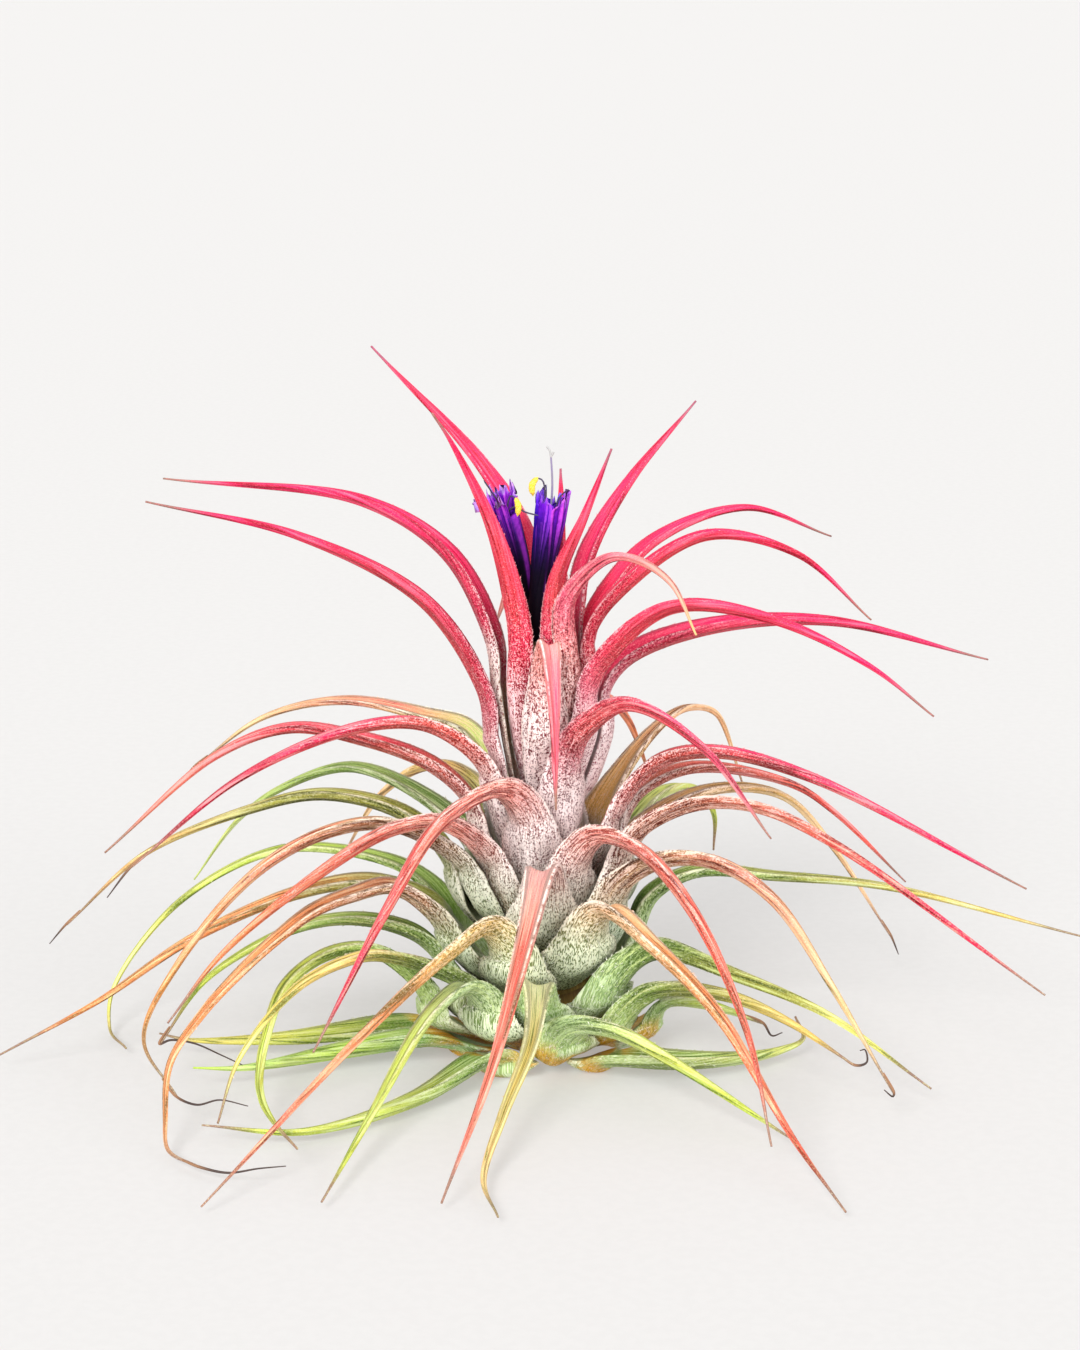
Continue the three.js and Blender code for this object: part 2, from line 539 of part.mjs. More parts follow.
function corolla(bloom) {
  const lobes = bloom.lobes.map((lobe) => petalLobe(bloom, ...lobe));
  return fused([flowerTube(bloom), ...lobes]);
}

function thread(points, radius, sides = 5) {
  const profile = [[0, 0], [radius, 0], [radius, 0.3], [radius, 0.55], [radius, 0.8], [radius, 1], [0, 1]];
  return spunAlong(curveThrough(points), profile, sides);
}

function pollenSac(from, to) {
  const profile = [[0, 0], [0.45, 0.12], [0.62, 0.45], [0.5, 0.8], [0, 1]];
  return spunAlong(curveThrough([from, to]), profile, 6);
}

function stamens(bloom) {
  // threads with pollen sacs, all rooted in one small disc at the bottom of the mouth
  const { axis } = bloom;
  const bottom = 1 - (CUP_DEPTH - GAP) / axis.getLength();
  const disc = [axis.getPointAt(bottom), axis.getPointAt(bottom + ROOT_DISC / axis.getLength())];
  const discRadius = bloom.mouthRadius - TUBE_WALL - 0.1 - GAP;
  const pieces = [spunAlong(
    new THREE.LineCurve3(disc[0], disc[1]), [[0, 0], [discRadius, 0], [discRadius, 1], [0, 1]], 8,
  )];
  const start = disc[0].clone().lerp(disc[1], 0.4);
  for (const { path, sac } of bloom.threads) {
    const mouth = axis.getPointAt(1);
    const outward = new THREE.Vector3(...path[0]).sub(mouth).setZ(0).setLength(discRadius - THREAD_RADIUS);
    const root = start.clone().add(outward);
    const through = mouth.clone().add(outward);
    pieces.push(thread([root.toArray(), through.toArray(), ...path], THREAD_RADIUS));
    if (sac) pieces.push(pollenSac(...sac));
  }
  return fused(pieces);
}

const LEFT_BLOOM = {
  axis: curveThrough([[-1.6, 1.7, 60.5], [-2.3, 1.3, 65], [-3.4, 0.4, 72], [-5.2, -1, 78.6]]),
  baseRadius: 1.15,
  mouthRadius: 1.7,
  // lobes: azimuth round the mouth, height, flare, width
  lobes: [[18, 4.2, 0.5, 1.8], [73, 3.4, 0.8, 1.5], [125, 3.9, 0.7, 1.9], [177, 3.2, 2.2, 1.5],
    [258, 4, 0.6, 1.4]],
  threads: [
    { path: [[-6.6, -2.3, 81.2], [-8.3, -3.2, 84]] },
    { path: [[-4, -2.4, 80.2], [-2.4, -3.6, 80], [-0.6, -4.4, 79.6]] },
    { path: [[-4.5, -2.4, 81.6], [-3.6, -3.2, 81.2]], sac: [[-3.9, -3.1, 81.5], [-3.6, -3.6, 78.9]] },
  ],
};
const RIGHT_BLOOM = {
  axis: curveThrough([[-1.1, -1, 60.5], [-0.7, -0.9, 65], [0, -0.6, 71], [0.9, -0.4, 77.6]]),
  baseRadius: 1.4,
  mouthRadius: 2,
  lobes: [[10, 4.4, 0.5, 2.2], [70, 3.6, 0.4, 1.7], [125, 4.6, 0.4, 2.1], [185, 3.9, 0.5, 1.8],
    [240, 4.3, 0.4, 2.1], [305, 3.7, 0.7, 1.8]],
  threads: [
    { path: [[0.3, -0.6, 81.5], [-0.1, -0.8, 83.5], [-0.9, -1.1, 83.9]],
      sac: [[-0.7, -1, 84], [-1.3, -1.4, 81.3]] },
    { path: [[2.3, -0.9, 81], [3.6, -1.4, 82.4]] },
  ],
  style: [[1, 0.02, 78.4], [1.3, 0.1, 82.5], [1.1, 0, 87]],
  stigma: [[[1.1, 0, 86.6], [0.5, 0.1, 88.2]], [[1.1, 0, 86.6], [1.7, -0.1, 88]]],
};

function pistil(bloom) {
  // pale thread with a forked tip, rooted just above the disc of the stamens
  const root = bloom.axis.getPointAt(1 - (CUP_DEPTH - GAP - ROOT_DISC - GAP) / bloom.axis.getLength());
  root.y += PISTIL_OFFSET;
  const pieces = [thread([root.toArray(), ...bloom.style], THREAD_RADIUS)];
  for (const fork of bloom.stigma) pieces.push(thread(fork, THREAD_RADIUS * 0.95));
  return fused(pieces);
}

// The whole plant

const plant = new THREE.Group();
plant.name = 'sky_plant';

plant.add(bodyFrom('stem', stemGeometry(), COLOURS.stem, 0.9));

const rosette = new THREE.Group();
rosette.name = 'rosette';
const youngestFirst = [...LEAVES].sort((a, b) => b[4][0][2] - a[4][0][2]);
for (const row of youngestFirst) {
  const geometry = facingOut(closedLoft(leafRings(row)));
  rosette.add(bodyFrom('leaf_' + row[0], geometry, COLOURS[row[1]]));
}
plant.add(rosette);

const leftFlower = new THREE.Group();
leftFlower.name = 'flower_left';
leftFlower.add(bodyFrom('flower_left_petals', corolla(LEFT_BLOOM), COLOURS.petal, 0.5));
leftFlower.add(bodyFrom('flower_left_stamens', stamens(LEFT_BLOOM), COLOURS.pollen, 0.8));
plant.add(leftFlower);

const rightFlower = new THREE.Group();
rightFlower.name = 'flower_right';
rightFlower.add(bodyFrom('flower_right_petals', corolla(RIGHT_BLOOM), COLOURS.petal, 0.5));
rightFlower.add(bodyFrom('flower_right_stamens', stamens(RIGHT_BLOOM), COLOURS.pollen, 0.8));
rightFlower.add(bodyFrom('flower_right_pistil', pistil(RIGHT_BLOOM), COLOURS.style, 0.6));
plant.add(rightFlower);

export default plant;
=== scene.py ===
"""Looks of a sky plant in bloom: frosted leaves in a spiral, violet flowers, and the short stem.

The plant grows here by the same rules as its solids, with many more rings and points, so every
fine leaf lies where its solid lies. Lengths in the growing rules are in millimetres.
"""
import math
from collections import namedtuple

import bpy
import numpy as np
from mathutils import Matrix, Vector


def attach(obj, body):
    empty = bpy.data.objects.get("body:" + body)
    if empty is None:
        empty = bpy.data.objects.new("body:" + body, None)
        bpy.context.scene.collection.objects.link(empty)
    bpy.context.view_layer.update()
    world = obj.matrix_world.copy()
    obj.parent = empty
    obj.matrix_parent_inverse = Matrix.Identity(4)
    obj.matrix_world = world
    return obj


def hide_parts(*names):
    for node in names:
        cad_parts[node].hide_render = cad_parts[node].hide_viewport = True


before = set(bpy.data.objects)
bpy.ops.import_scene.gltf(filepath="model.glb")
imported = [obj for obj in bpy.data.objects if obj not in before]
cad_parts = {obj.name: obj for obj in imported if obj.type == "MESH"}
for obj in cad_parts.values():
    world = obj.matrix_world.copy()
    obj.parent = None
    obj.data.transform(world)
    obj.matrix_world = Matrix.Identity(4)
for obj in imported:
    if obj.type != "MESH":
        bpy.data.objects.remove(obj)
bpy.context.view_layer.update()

MM = 0.001
BODY = "root"

# Sizes of the plant

GAP = 0.32
STEM_PROFILE = [
    (0, 7), (1.2, 7.6), (8, 7.2), (14, 6), (22, 4.2), (30, 3), (40, 2.5), (50, 2.3), (58, 2.9), (60, 2.9),
]
SEAT_SLOPE = 0.72
SEAT_DROP = 4.5
LOWEST_SEAT = 0.9
SHEATH_STEPS = 4
SHEATH_SHAPE = [(0, 0.55), (0.25, 0.82), (0.5, 1), (0.75, 0.92), (1, 0.68)]
SHEATH_BELLY = 1.9
SHEATH_THICK = [0.6, 0.75, 0.95, 1.1, 1.2]
# how far past the shoulder, in mm, the push, the width and the section of the sheath fade
PUSH_FADE = 9
WIDTH_FADE = 6
SHEATH_FADE = 4
BLADE_THICK = 1.35
TIP_THICK = 0.62
BLADE_WIDTH = 5.5
TIP_WIDTH = 0.2
TAPER = 1.4
BLADE_CUP = 68
TIP_CUP = 108
EDGE_THIN = 0.5
CUP_DEPTH = 4.5
TUBE_WALL = 0.65
ROOT_DISC = 0.7
PISTIL_OFFSET = 0.42

# How fine the visible surfaces are
SWELLING = 1.1
BLADE_RELIEF = 0.16
RING_STEP = 0.62
OUTER_SHARES = np.linspace(-1, 1, 17)
INNER_SHARES = np.linspace(0.86, -0.86, 11)
SCALES_ON_A_LEAF = 1150
SCALES_AT_THE_MARGIN = 0.22
SCALE_LENGTH = (0.2, 0.38)
SCALE_HALF_WIDTH = (0.055, 0.09)
DRY_THREAD_RADIUS = 0.2
SCAR_ROW = 2.2
SCARS_ROUND = 9
SCAR_RELIEF = 0.5
LOBE_FOOT = -2.6

Leaf = namedtuple("Leaf", "name skin blade fullness azimuth width midrib")
# One row a leaf: its name and skin; the colours of its blade near the shoulder, half way and near the
# tip; how full the blade is; azimuth and width of the sheath; then the points that the midrib passes
# from the shoulder to the tip, each azimuth, radius, height.
LEAVES = [Leaf(*row) for row in [
    ("crown_slip", "crown", "rose hot hot", 1, 64, 4.5,
     [(64, 4.6, 68), (64, 5.5, 77), (72, 8, 83.5)]),
    ("crown_back_left", "crown", "rose hot rose", 1.55, 118, 5,
     [(118, 4.6, 66), (118, 6, 74), (127, 15, 83.5), (136, 35, 98.5)]),
    ("crown_back_right", "crown", "rose hot rose", 1.75, 33, 5,
     [(33, 5, 65), (34, 8, 72.5), (38, 16.5, 82), (39, 28.5, 91.5)]),
    ("crown_front_right", "crown", "rose hot hot", 1.15, 285, 5,
     [(285, 5, 62), (290, 5.5, 70), (308, 9, 79.5), (310, 14.5, 90)]),
    ("crown_right", "crown", "rose hot hot", 1.65, 352, 5.5,
     [(352, 6, 61), (352, 11.5, 68.5), (354, 23, 76), (355, 36, 73.5), (356, 46.5, 64)]),
    ("crown_bent", "rose", "pink pink blush", 1.5, 302, 5,
     [(302, 6, 60), (296, 7.5, 67.5), (308, 14, 74.5), (311, 18.5, 75.5), (314, 25, 73),
      (311, 31.5, 67)]),
    ("crown_front_left", "crown", "rose hot hot", 1.5, 236, 5.5,
     [(236, 5.5, 60), (230, 6.5, 67), (224, 10, 78.5), (222, 16.5, 90.5), (223, 20.5, 95.5)]),
    ("crown_low_right", "crown", "rose hot hot", 1.45, 30, 5.5,
     [(30, 6, 59), (30, 10, 65.5), (28, 18.5, 73), (26, 33, 76.5), (25, 47, 71)]),
    ("front_folded", "rose", "blush pink pink", 1, 272, 6.5,
     [(273, 6.5, 56), (275, 9, 62), (277, 12.3, 54.5), (277, 15, 39.5)]),
    ("upper_left_far", "crown", "wine hot hot", 1.75, 170, 6.5,
     [(170, 6, 54), (169, 7.5, 60.5), (167, 14, 72), (166, 26.5, 79), (164, 57.5, 80.5)]),
    ("upper_right_front", "crown", "rose hot hot", 1.45, 325, 7,
     [(325, 7, 53), (325, 10.5, 59), (330, 20.5, 67.5), (335, 34.5, 67), (337, 48.5, 61.5),
      (338, 57.5, 55)]),
    ("upper_right_long", "crown", "wine hot hot", 1.6, 8, 7,
     [(8, 8, 52), (8, 12, 57), (8, 23.5, 61), (8, 42, 61.5), (8, 65.5, 55)]),
    ("back_high", "rose", "wine rose salmon", 1.2, 95, 7,
     [(95, 6.5, 50), (95, 10, 57), (96, 22, 63), (97, 38, 60), (98, 56, 48)]),
    ("upper_left_near", "crown", "wine rose hot", 1.5, 188, 7,
     [(188, 7, 47), (188, 8.5, 53.5), (188, 17, 66.5), (188, 34.5, 76.5), (188, 55.5, 82)]),
    ("right_arch", "rose", "rose hot pink", 1.2, 292, 7.5,
     [(292, 8, 44), (300, 11, 49.5), (311, 18.5, 54.5), (315, 31.5, 50.5), (315, 43.5, 40.5)]),
    ("left_rose_upper", "rose", "coral hot wine", 1, 210, 7.5,
     [(210, 8.5, 42), (206, 14.5, 48), (205, 20, 50.5), (205, 30.5, 50.5), (205, 46.5, 45.5),
      (205, 62, 35)]),
    ("left_brown", "tan", "sprout salmon peach", 0.85, 140, 8,
     [(140, 9, 38), (142, 14, 44.5), (148, 20, 46), (152, 33.5, 47), (154, 47, 43), (155, 58.5, 34)]),
    ("left_rose_lower", "rose", "brick rose salmon", 1.1, 190, 8,
     [(190, 9.5, 36), (190, 16, 42.5), (190, 26.5, 47), (190, 36.5, 49), (190, 47, 45.5),
      (190, 63, 32)]),
    ("front_left_coral", "coral", "salmon coral rose", 1, 259, 9,
     [(257, 9.5, 36.5), (246, 14.5, 42), (237, 25.5, 40), (237, 39, 31), (239, 58.5, 17.5)]),
    ("right_thin", "rose", "brown brick coral", 0.8, 12, 8,
     [(12, 10, 32), (12, 14, 37), (12, 22, 40), (15, 38, 36), (15, 45, 31), (15, 56.5, 19)]),
    ("right_tan_high", "tan", "gold peach peach", 0.6, 48, 9.5,
     [(48, 10, 31), (48, 19, 38.5), (50, 27.5, 42), (52, 36.5, 42.5), (52, 44, 39.5), (52, 51.5, 26)]),
    ("back_middle", "coral", "tan salmon orange", 0.85, 76, 10,
     [(76, 10, 34), (76, 17, 41), (75, 30, 44), (73, 46, 36), (72, 58, 22)]),
    ("left_near_rose", "coral", "salmon coral orange", 1, 229, 9,
     [(229, 11, 30), (221, 18.5, 36.8), (216, 25.5, 37), (216, 39, 32.5), (212, 52, 23),
      (212, 60.5, 14.5)]),
    ("front_right_salmon", "coral", "salmon coral coral", 0.85, 288, 9.5,
     [(289, 12, 30), (298, 16, 35.5), (304, 24, 35.5), (305, 36.5, 29), (303, 50.5, 16.5),
      (300, 60, 5)]),
    ("left_near_tan", "tan", "brown salmon orange", 0.85, 210, 9,
     [(208, 12, 28.5), (202, 22, 35.2), (202, 30.5, 36), (204, 43, 32), (205, 56, 20), (207, 62, 10.5),
      (213, 60, 4)]),
    ("right_long_rose", "rose", "brick hot hot", 0.9, 345, 9,
     [(345, 10, 35), (350, 16.5, 43), (350, 24.5, 45), (350, 38.5, 42), (350, 69.5, 27)]),
    ("left_back_green", "green", "moss green sprout", 0.75, 153, 9,
     [(153, 11, 28), (155, 19.5, 34.5), (158, 30.5, 38), (160, 41.5, 34), (161, 48.5, 28.5),
      (162, 55.5, 18.5)]),
    ("right_long_coral", "coral", "brown coral rose", 0.8, 325, 9.5,
     [(325, 12, 29), (330, 15.5, 34.5), (335, 23.5, 39), (337, 32.5, 39.5), (338, 44.5, 35),
      (338, 74.5, 17)]),
    ("left_long_olive", "olive", "olive olive tan", 0.8, 179, 9.5,
     [(179, 12, 27), (178, 19.5, 34), (178, 31.5, 37), (178, 43, 34.5), (178, 58.5, 27.5),
      (178, 70, 16.5)]),
    ("right_tan_low", "tan", "tan gold peach", 0.6, 20, 11,
     [(20, 12, 27), (20, 19.5, 33.5), (20, 28, 35.5), (21, 38.5, 33), (22, 47.5, 23.5), (22, 57.5, 8)]),
    ("back_lower", "tan", "green gold peach", 0.85, 118, 12.5,
     [(118, 12, 24), (118, 20, 32), (119, 34, 33), (121, 50, 24), (122, 62, 10)]),
    ("front_long", "coral", "blush coral salmon", 0.75, 271, 11,
     [(271, 13, 26), (270, 16, 31), (265, 26, 25), (261, 44.5, 12.5), (258, 63, 1.4)]),
    ("right_pale_hump", "green", "green sprout lime", 1, 48, 13,
     [(48, 13, 22), (50, 22, 29), (55, 35.5, 29.5), (55, 42.5, 27), (56, 48.5, 21.5), (58, 51.5, 14.5)]),
    ("right_hooked", "tan", "brown salmon peach", 1, 311, 12.5,
     [(311, 13.5, 23), (313, 17, 28.5), (319, 23, 32.5), (323, 30.5, 33), (325, 39, 29),
      (325, 48.5, 18.5), (325, 58.5, 5)]),
    ("left_near_hook", "tan", "brown orange orange", 0.8, 210, 11,
     [(210, 14, 19.5), (210, 18, 23.5), (210, 24, 27.5), (211, 31, 27.5), (212, 37.5, 26.5),
      (213, 43.5, 24), (214, 50, 20.5), (215, 57, 15.8), (216, 62.5, 10.5), (219, 65.5, 4),
      (222, 67.5, 1.6), (228, 68, 1.5)]),
    ("left_far_olive", "olive", "olive orange orange", 0.8, 187, 11,
     [(187, 14, 19.8), (189, 24.5, 25.2), (190, 35.5, 24.5), (190, 51, 18.5), (190, 64.5, 10),
      (190, 79, 2.5)]),
    ("front_right_orange", "tan", "peach orange coral", 0.8, 293, 12,
     [(294, 14.5, 20.5), (298, 18.5, 25.5), (302, 28.5, 23), (305, 41.5, 16.5), (303, 60, 6),
      (301, 75, 1.4)]),
    ("front_left_orange", "tan", "gold orange salmon", 0.7, 254, 11,
     [(252, 15, 18), (245, 18.5, 23), (239, 26.5, 21), (237, 47.5, 14.5), (235, 76.5, 1.4)]),
    ("right_far", "green", "moss olive gold", 0.55, 0, 12,
     [(0, 13, 17), (0, 15.5, 22), (358, 22, 26), (358, 34, 25.5), (358, 50, 24), (358, 78.5, 16.5)]),
    ("left_back_hook", "lime", "green lime yellow", 0.45, 158, 12,
     [(160, 13.5, 16), (160, 18, 22), (164, 24, 25.4), (168, 39.5, 26.5), (171, 55, 18), (176, 64, 6),
      (180, 64, 1.4), (188, 61, 1.4)]),
    ("back_low", "olive", "moss green sprout", 0.85, 92, 14,
     [(92, 14, 12), (92, 22, 19), (92, 36, 20), (91, 52, 12), (90, 66, 2)]),
    ("left_lime", "lime", "green lime lime", 0.75, 208, 11,
     [(207, 15.5, 9), (205, 20, 13.5), (203, 26, 17.5), (204, 33, 18), (207, 40.5, 15), (213, 46, 9.5),
      (217, 49, 6.2), (223, 52.5, 5.1), (231, 57, 5), (238, 61, 4.6)]),
    ("left_kinked", "olive", "moss green lime", 0.8, 199, 11,
     [(199, 14.5, 14), (198, 19.5, 18.5), (198, 28.5, 21.5), (199, 38, 21), (200, 50.5, 15.5),
      (200, 57.5, 6.5)]),
    ("left_yellow", "lime", "moss gold yellow", 0.8, 226, 10,
     [(226, 15, 11.4), (224, 22, 16.5), (222, 31.5, 20.5), (221, 37, 20.5), (221, 44, 19),
      (221, 50.5, 15), (222, 56, 10.5), (223, 60, 3.5)]),
    ("front_left_low", "lime", "sage lime lime", 0.68, 244, 10,
     [(243, 15.5, 10.6), (241, 21, 15), (239, 30, 13.5), (241, 48, 5), (245, 67.5, 1.4)]),
    ("front_low", "lime", "cream gold peach", 0.58, 264, 12,
     [(264, 16, 11.6), (267, 18.5, 15), (267, 31, 11.5), (263, 44.5, 6), (262, 55.5, 2),
      (265, 66, 1.4)]),
    ("right_lime", "lime", "moss olive yellow", 0.75, 307, 12.5,
     [(310, 15, 12), (321, 17, 16), (330, 19.5, 17), (332, 30.5, 15), (333, 45.5, 11), (333, 60.5, 3)]),
    ("front_right_low", "lime", "sage lime lime", 1, 279, 11,
     [(280, 16, 6.6), (284, 20.5, 9.6), (292, 26, 10.5), (300, 35, 8.5), (309, 54.5, 1.4)]),
    ("right_curled", "olive", "moss olive gold", 1.15, 311, 11,
     [(311, 16, 7), (316, 19.5, 11), (318, 22.5, 13), (322, 32.5, 14), (324, 42, 12), (325, 52.5, 7.5)]),
    ("right_short", "green", "green lime lime", 1, 338, 10.5,
     [(338, 15, 5.5), (338, 18.5, 8.5), (342, 27.5, 7.5), (342, 33, 6)]),
    ("left_foot_near", "green", "green lime sprout", 1.6, 218, 9,
     [(216, 15.5, 3.2), (211, 20, 3.6), (206, 32, 3), (205, 46.5, 3), (203, 53.5, 3.5)]),
    ("front_foot", "green", "green lime lime", 1.1, 248, 11,
     [(248, 16.5, 2.8), (246, 19, 3.8), (239, 33.5, 2.2), (231, 51, 2), (221, 61, 3)]),
    ("left_foot_far", "olive", "moss lime yellow", 1.3, 191, 9,
     [(191, 15.5, 2.6), (192, 20, 3), (192, 35.5, 2.5), (191, 43, 2.5), (190, 52, 3), (188, 56, 3.5)]),
    ("right_foot", "green", "moss moss sprout", 1.6, 300, 9,
     [(300, 16.5, 2.4), (304, 21, 3.4), (318, 26, 2.8), (333, 32, 2.2), (343, 36, 2), (348, 38.5, 2.8),
      (352, 37, 5)]),
]]

# Colours of the leaves, red, green and blue as a screen shows them
PAINTS = {
    "wine": (198, 34, 72), "rose": (228, 38, 84), "hot": (240, 20, 92), "pink": (244, 92, 132),
    "blush": (234, 164, 158), "salmon": (242, 124, 108), "coral": (238, 82, 70), "brick": (204, 84, 72),
    "brown": (178, 108, 78), "tan": (208, 160, 104), "peach": (240, 190, 138), "orange": (238, 138, 78),
    "gold": (232, 194, 104), "yellow": (222, 214, 100), "olive": (144, 148, 54), "moss": (102, 136, 50),
    "green": (122, 160, 62), "lime": (190, 212, 74), "sprout": (204, 222, 122), "sage": (170, 202, 142),
    "clay": (206, 78, 62), "plum": (154, 92, 112), "cream": (230, 228, 176), "dead": (142, 112, 100),
    "fold": (240, 220, 206), "margin": (244, 232, 212), "ochre": (222, 160, 22), "scale": (240, 236, 230),
}
# Sheaths paler than the rest of the column
PALE_SHEATHS = {
    "front_folded": (238, 204, 198), "upper_left_far": (216, 222, 146),
    "upper_left_near": (236, 206, 198), "front_long": (214, 216, 196), "right_hooked": (230, 236, 222),
    "front_right_orange": (208, 220, 194), "front_right_salmon": (222, 208, 196),
    "right_arch": (214, 176, 172), "front_left_orange": (186, 206, 164),
    "front_left_coral": (204, 190, 180), "upper_right_long": (246, 226, 220),
    "left_rose_upper": (232, 220, 208), "upper_right_front": (248, 222, 220),
    "crown_bent": (246, 176, 170), "front_left_low": (214, 234, 176),
}
# Tips of another colour than plum or brown
DRY_TIPS = {"crown_bent": "peach", "left_back_green": "sprout", "left_foot_near": "lime"}
# Blades whose underside starts paler than the rest
PALE_UNDERSIDES = {"upper_left_far": (232, 222, 170)}
# Leaves whose upper face is pale where it folds over the shoulder
PALE_FOLDS = {"front_folded", "front_long", "front_low", "front_left_coral"}
# Dry threads that some tips end in: azimuth, radius and height of the points they pass
DRY_THREADS = {
    "left_kinked": [(200.4, 56, 7), (201, 52.8, 6.3), (201.6, 48.9, 4.1), (202, 44.9, 1.6)],
    "left_near_tan": [(215, 58, 3), (218, 56, 4.2), (222, 54, 4)],
    "left_near_hook": [(232, 67, 1.6), (235, 65, 2.4), (237, 62, 2.2)],
    "right_curled": [(325.4, 54, 8.2), (325.6, 53.6, 9.8), (326, 52.6, 9.4)],
    "right_hooked": [(325.6, 58, 4), (326.6, 56.2, 4.2)],
    "right_short": [(342, 34.6, 4.2), (343, 36, 4.6)],
    "left_rose_upper": [(205, 65.6, 31)], "left_long_olive": [(178, 72.6, 13.4)],
    "right_tan_low": [(22, 59, 4.6)], "left_brown": [(155.6, 60.8, 31)],
}
# How thick the silver scales lie on the blades, against 1 on the sheaths
BLADE_FROST = {
    "crown": 0.56, "rose": 0.62, "coral": 0.75, "tan": 0.75, "green": 0.42, "olive": 0.42, "lime": 0.36,
}
# Skin of the sheaths by height: sage at the foot, wine in the middle, rose under the flowers
COLUMN_TONES = [
    (0, 190, 216, 136), (12, 190, 216, 150), (22, 202, 218, 172), (30, 212, 214, 192), (38, 222, 184, 178),
    (48, 216, 122, 130), (58, 226, 60, 88), (66, 234, 34, 80),
]


# Small helpers

def mix(a, b, t):
    return a + (b - a) * t


def painted(tone, paint, strength):
    """Tones with a paint laid on them, at each point as strongly as given."""
    return mix(tone, paint, strength[..., None])


def smooth(low, high, x):
    t = np.clip((x - low) / (high - low), 0, 1)
    return t * t * (3 - 2 * t)


def linear(screen):
    """Colours as the shaders take them, from red, green and blue of 0 to 255 as a screen shows them."""
    c = np.asarray(screen, float) / 255
    return np.where(c <= 0.04045, c / 12.92, ((c + 0.055) / 1.055) ** 2.4)


def read(table, x):
    """Straight-line reading of a table of (x, value)."""
    return np.interp(x, [row[0] for row in table], [row[1] for row in table])


def from_cylinder(azimuth, radius, height):
    a = math.radians(azimuth)
    return np.array([radius * math.cos(a), radius * math.sin(a), height])


def unit(v):
    return v / np.linalg.norm(v, axis=-1, keepdims=True)


class Path:
    """A smooth curve through points, spaced by the root of their distances. u runs 0 to count - 1."""

    def __init__(self, points):
        p = np.asarray(points, float)
        self.count = len(p)
        self.points = np.vstack([2 * p[0] - p[1], p, 2 * p[-1] - p[-2]])

    def at(self, u):
        """Points and directions of travel at the places u."""
        u = np.atleast_1d(np.asarray(u, float))
        i = np.minimum(u.astype(int), self.count - 2)
        w = (u - i)[:, None]
        x0, x1, x2, x3 = (self.points[i + k] for k in range(4))
        gap = [np.sqrt(np.linalg.norm(b - a, axis=1))[:, None] for a, b in ((x0, x1), (x1, x2), (x2, x3))]
        t1 = ((x1 - x0) / gap[0] - (x2 - x0) / (gap[0] + gap[1]) + (x2 - x1) / gap[1]) * gap[1]
        t2 = ((x2 - x1) / gap[1] - (x3 - x1) / (gap[1] + gap[2]) + (x3 - x2) / gap[2]) * gap[1]
        c2 = -3 * x1 + 3 * x2 - 2 * t1 - t2
        c3 = 2 * x1 - 2 * x2 + t1 + t2
        return x1 + t1 * w + c2 * w ** 2 + c3 * w ** 3, unit(t1 + 2 * c2 * w + 3 * c3 * w ** 2)


def carried(tangents, side):
    """side carried along a curve without twist, as one row a tangent."""
    sides = [side]
    for before, after in zip(tangents[:-1], tangents[1:]):
        turn = Vector(before).rotation_difference(Vector(after))
        sides.append(np.array(turn @ Vector(sides[-1])))
    return np.array(sides)


def round_body(path, u, radii, sides, across):
    """Rings of points round a path at the places u; across points off its start, to begin each ring."""
    spots, tangents = path.at(u)
    side = unit(np.cross(tangents[0], across))
    sides_at = carried(tangents, side)
    ahead = np.cross(tangents, sides_at)
    a = np.linspace(0, 2 * math.pi, sides, endpoint=False)[None, :, None]
    return spots[:, None] + radii[:, :, None] * (np.cos(a) * sides_at[:, None] + np.sin(a) * ahead[:, None])


# The piled sheaths

placed = []


def radius_taken(azimuth, height):
    """Outer radius of the column built so far at one azimuth and height."""
    radius = read(STEM_PROFILE, height)
    for sheath in placed:
        if height < sheath["heights"][0] - 1 or height > sheath["heights"][-1] + 1:
            continue
        off = abs((azimuth - sheath["azimuth"] + 540) % 360 - 180)
        half_turn = np.interp(height, sheath["heights"], sheath["half_turns"])
        if off > half_turn + 4:
            continue
        share = min(1, off / half_turn)
        thick = np.interp(height, sheath["heights"], sheath["thicks"]) * (1 - EDGE_THIN * share ** 2)
        radius = max(radius, np.interp(height, sheath["heights"], sheath["inners"]) + thick)
    return radius


def sheath_rings(azimuth, width, shoulder):
    """Height, inner radius, width and thickness of the five rings of a new sheath."""
    _, reach, top = shoulder
    bottom = max(LOWEST_SEAT, SEAT_SLOPE * top - SEAT_DROP)
    core = read(STEM_PROFILE, bottom)
    slant = min(3, 1 / math.cos(math.atan2(reach - core - 1, top - bottom)))
    rings = []
    for i in range(SHEATH_STEPS + 1):
        share = i / SHEATH_STEPS
        height = mix(bottom, top, share)
        radius = read(STEM_PROFILE, height)
        likely = mix(radius + 1, reach, share)
        ring_width = min(width * read(SHEATH_SHAPE, share), 1.2 * likely)
        half_turn = math.degrees(ring_width / 2 / likely)
        for offset in (-1, -0.6, -0.25, 0, 0.25, 0.6, 1):
            radius = max(radius, radius_taken(azimuth + offset * half_turn, height))
        belly = mix(core + GAP * slant, reach - 0.4, 1 - (1 - share) ** SHEATH_BELLY)
        radius = max(radius + GAP * slant, belly if i > 0 else 0)
        rings.append([height, radius, ring_width, SHEATH_THICK[i] * mix(0.55, 1, width / 10)])
    rings[-1][1] = max(rings[-1][1], reach)
    for i in range(SHEATH_STEPS - 1, 0, -1):
        rings[i][1] = max(rings[i][1], (rings[i - 1][1] + rings[i + 1][1]) / 2 - 0.15)
    return np.array(rings)


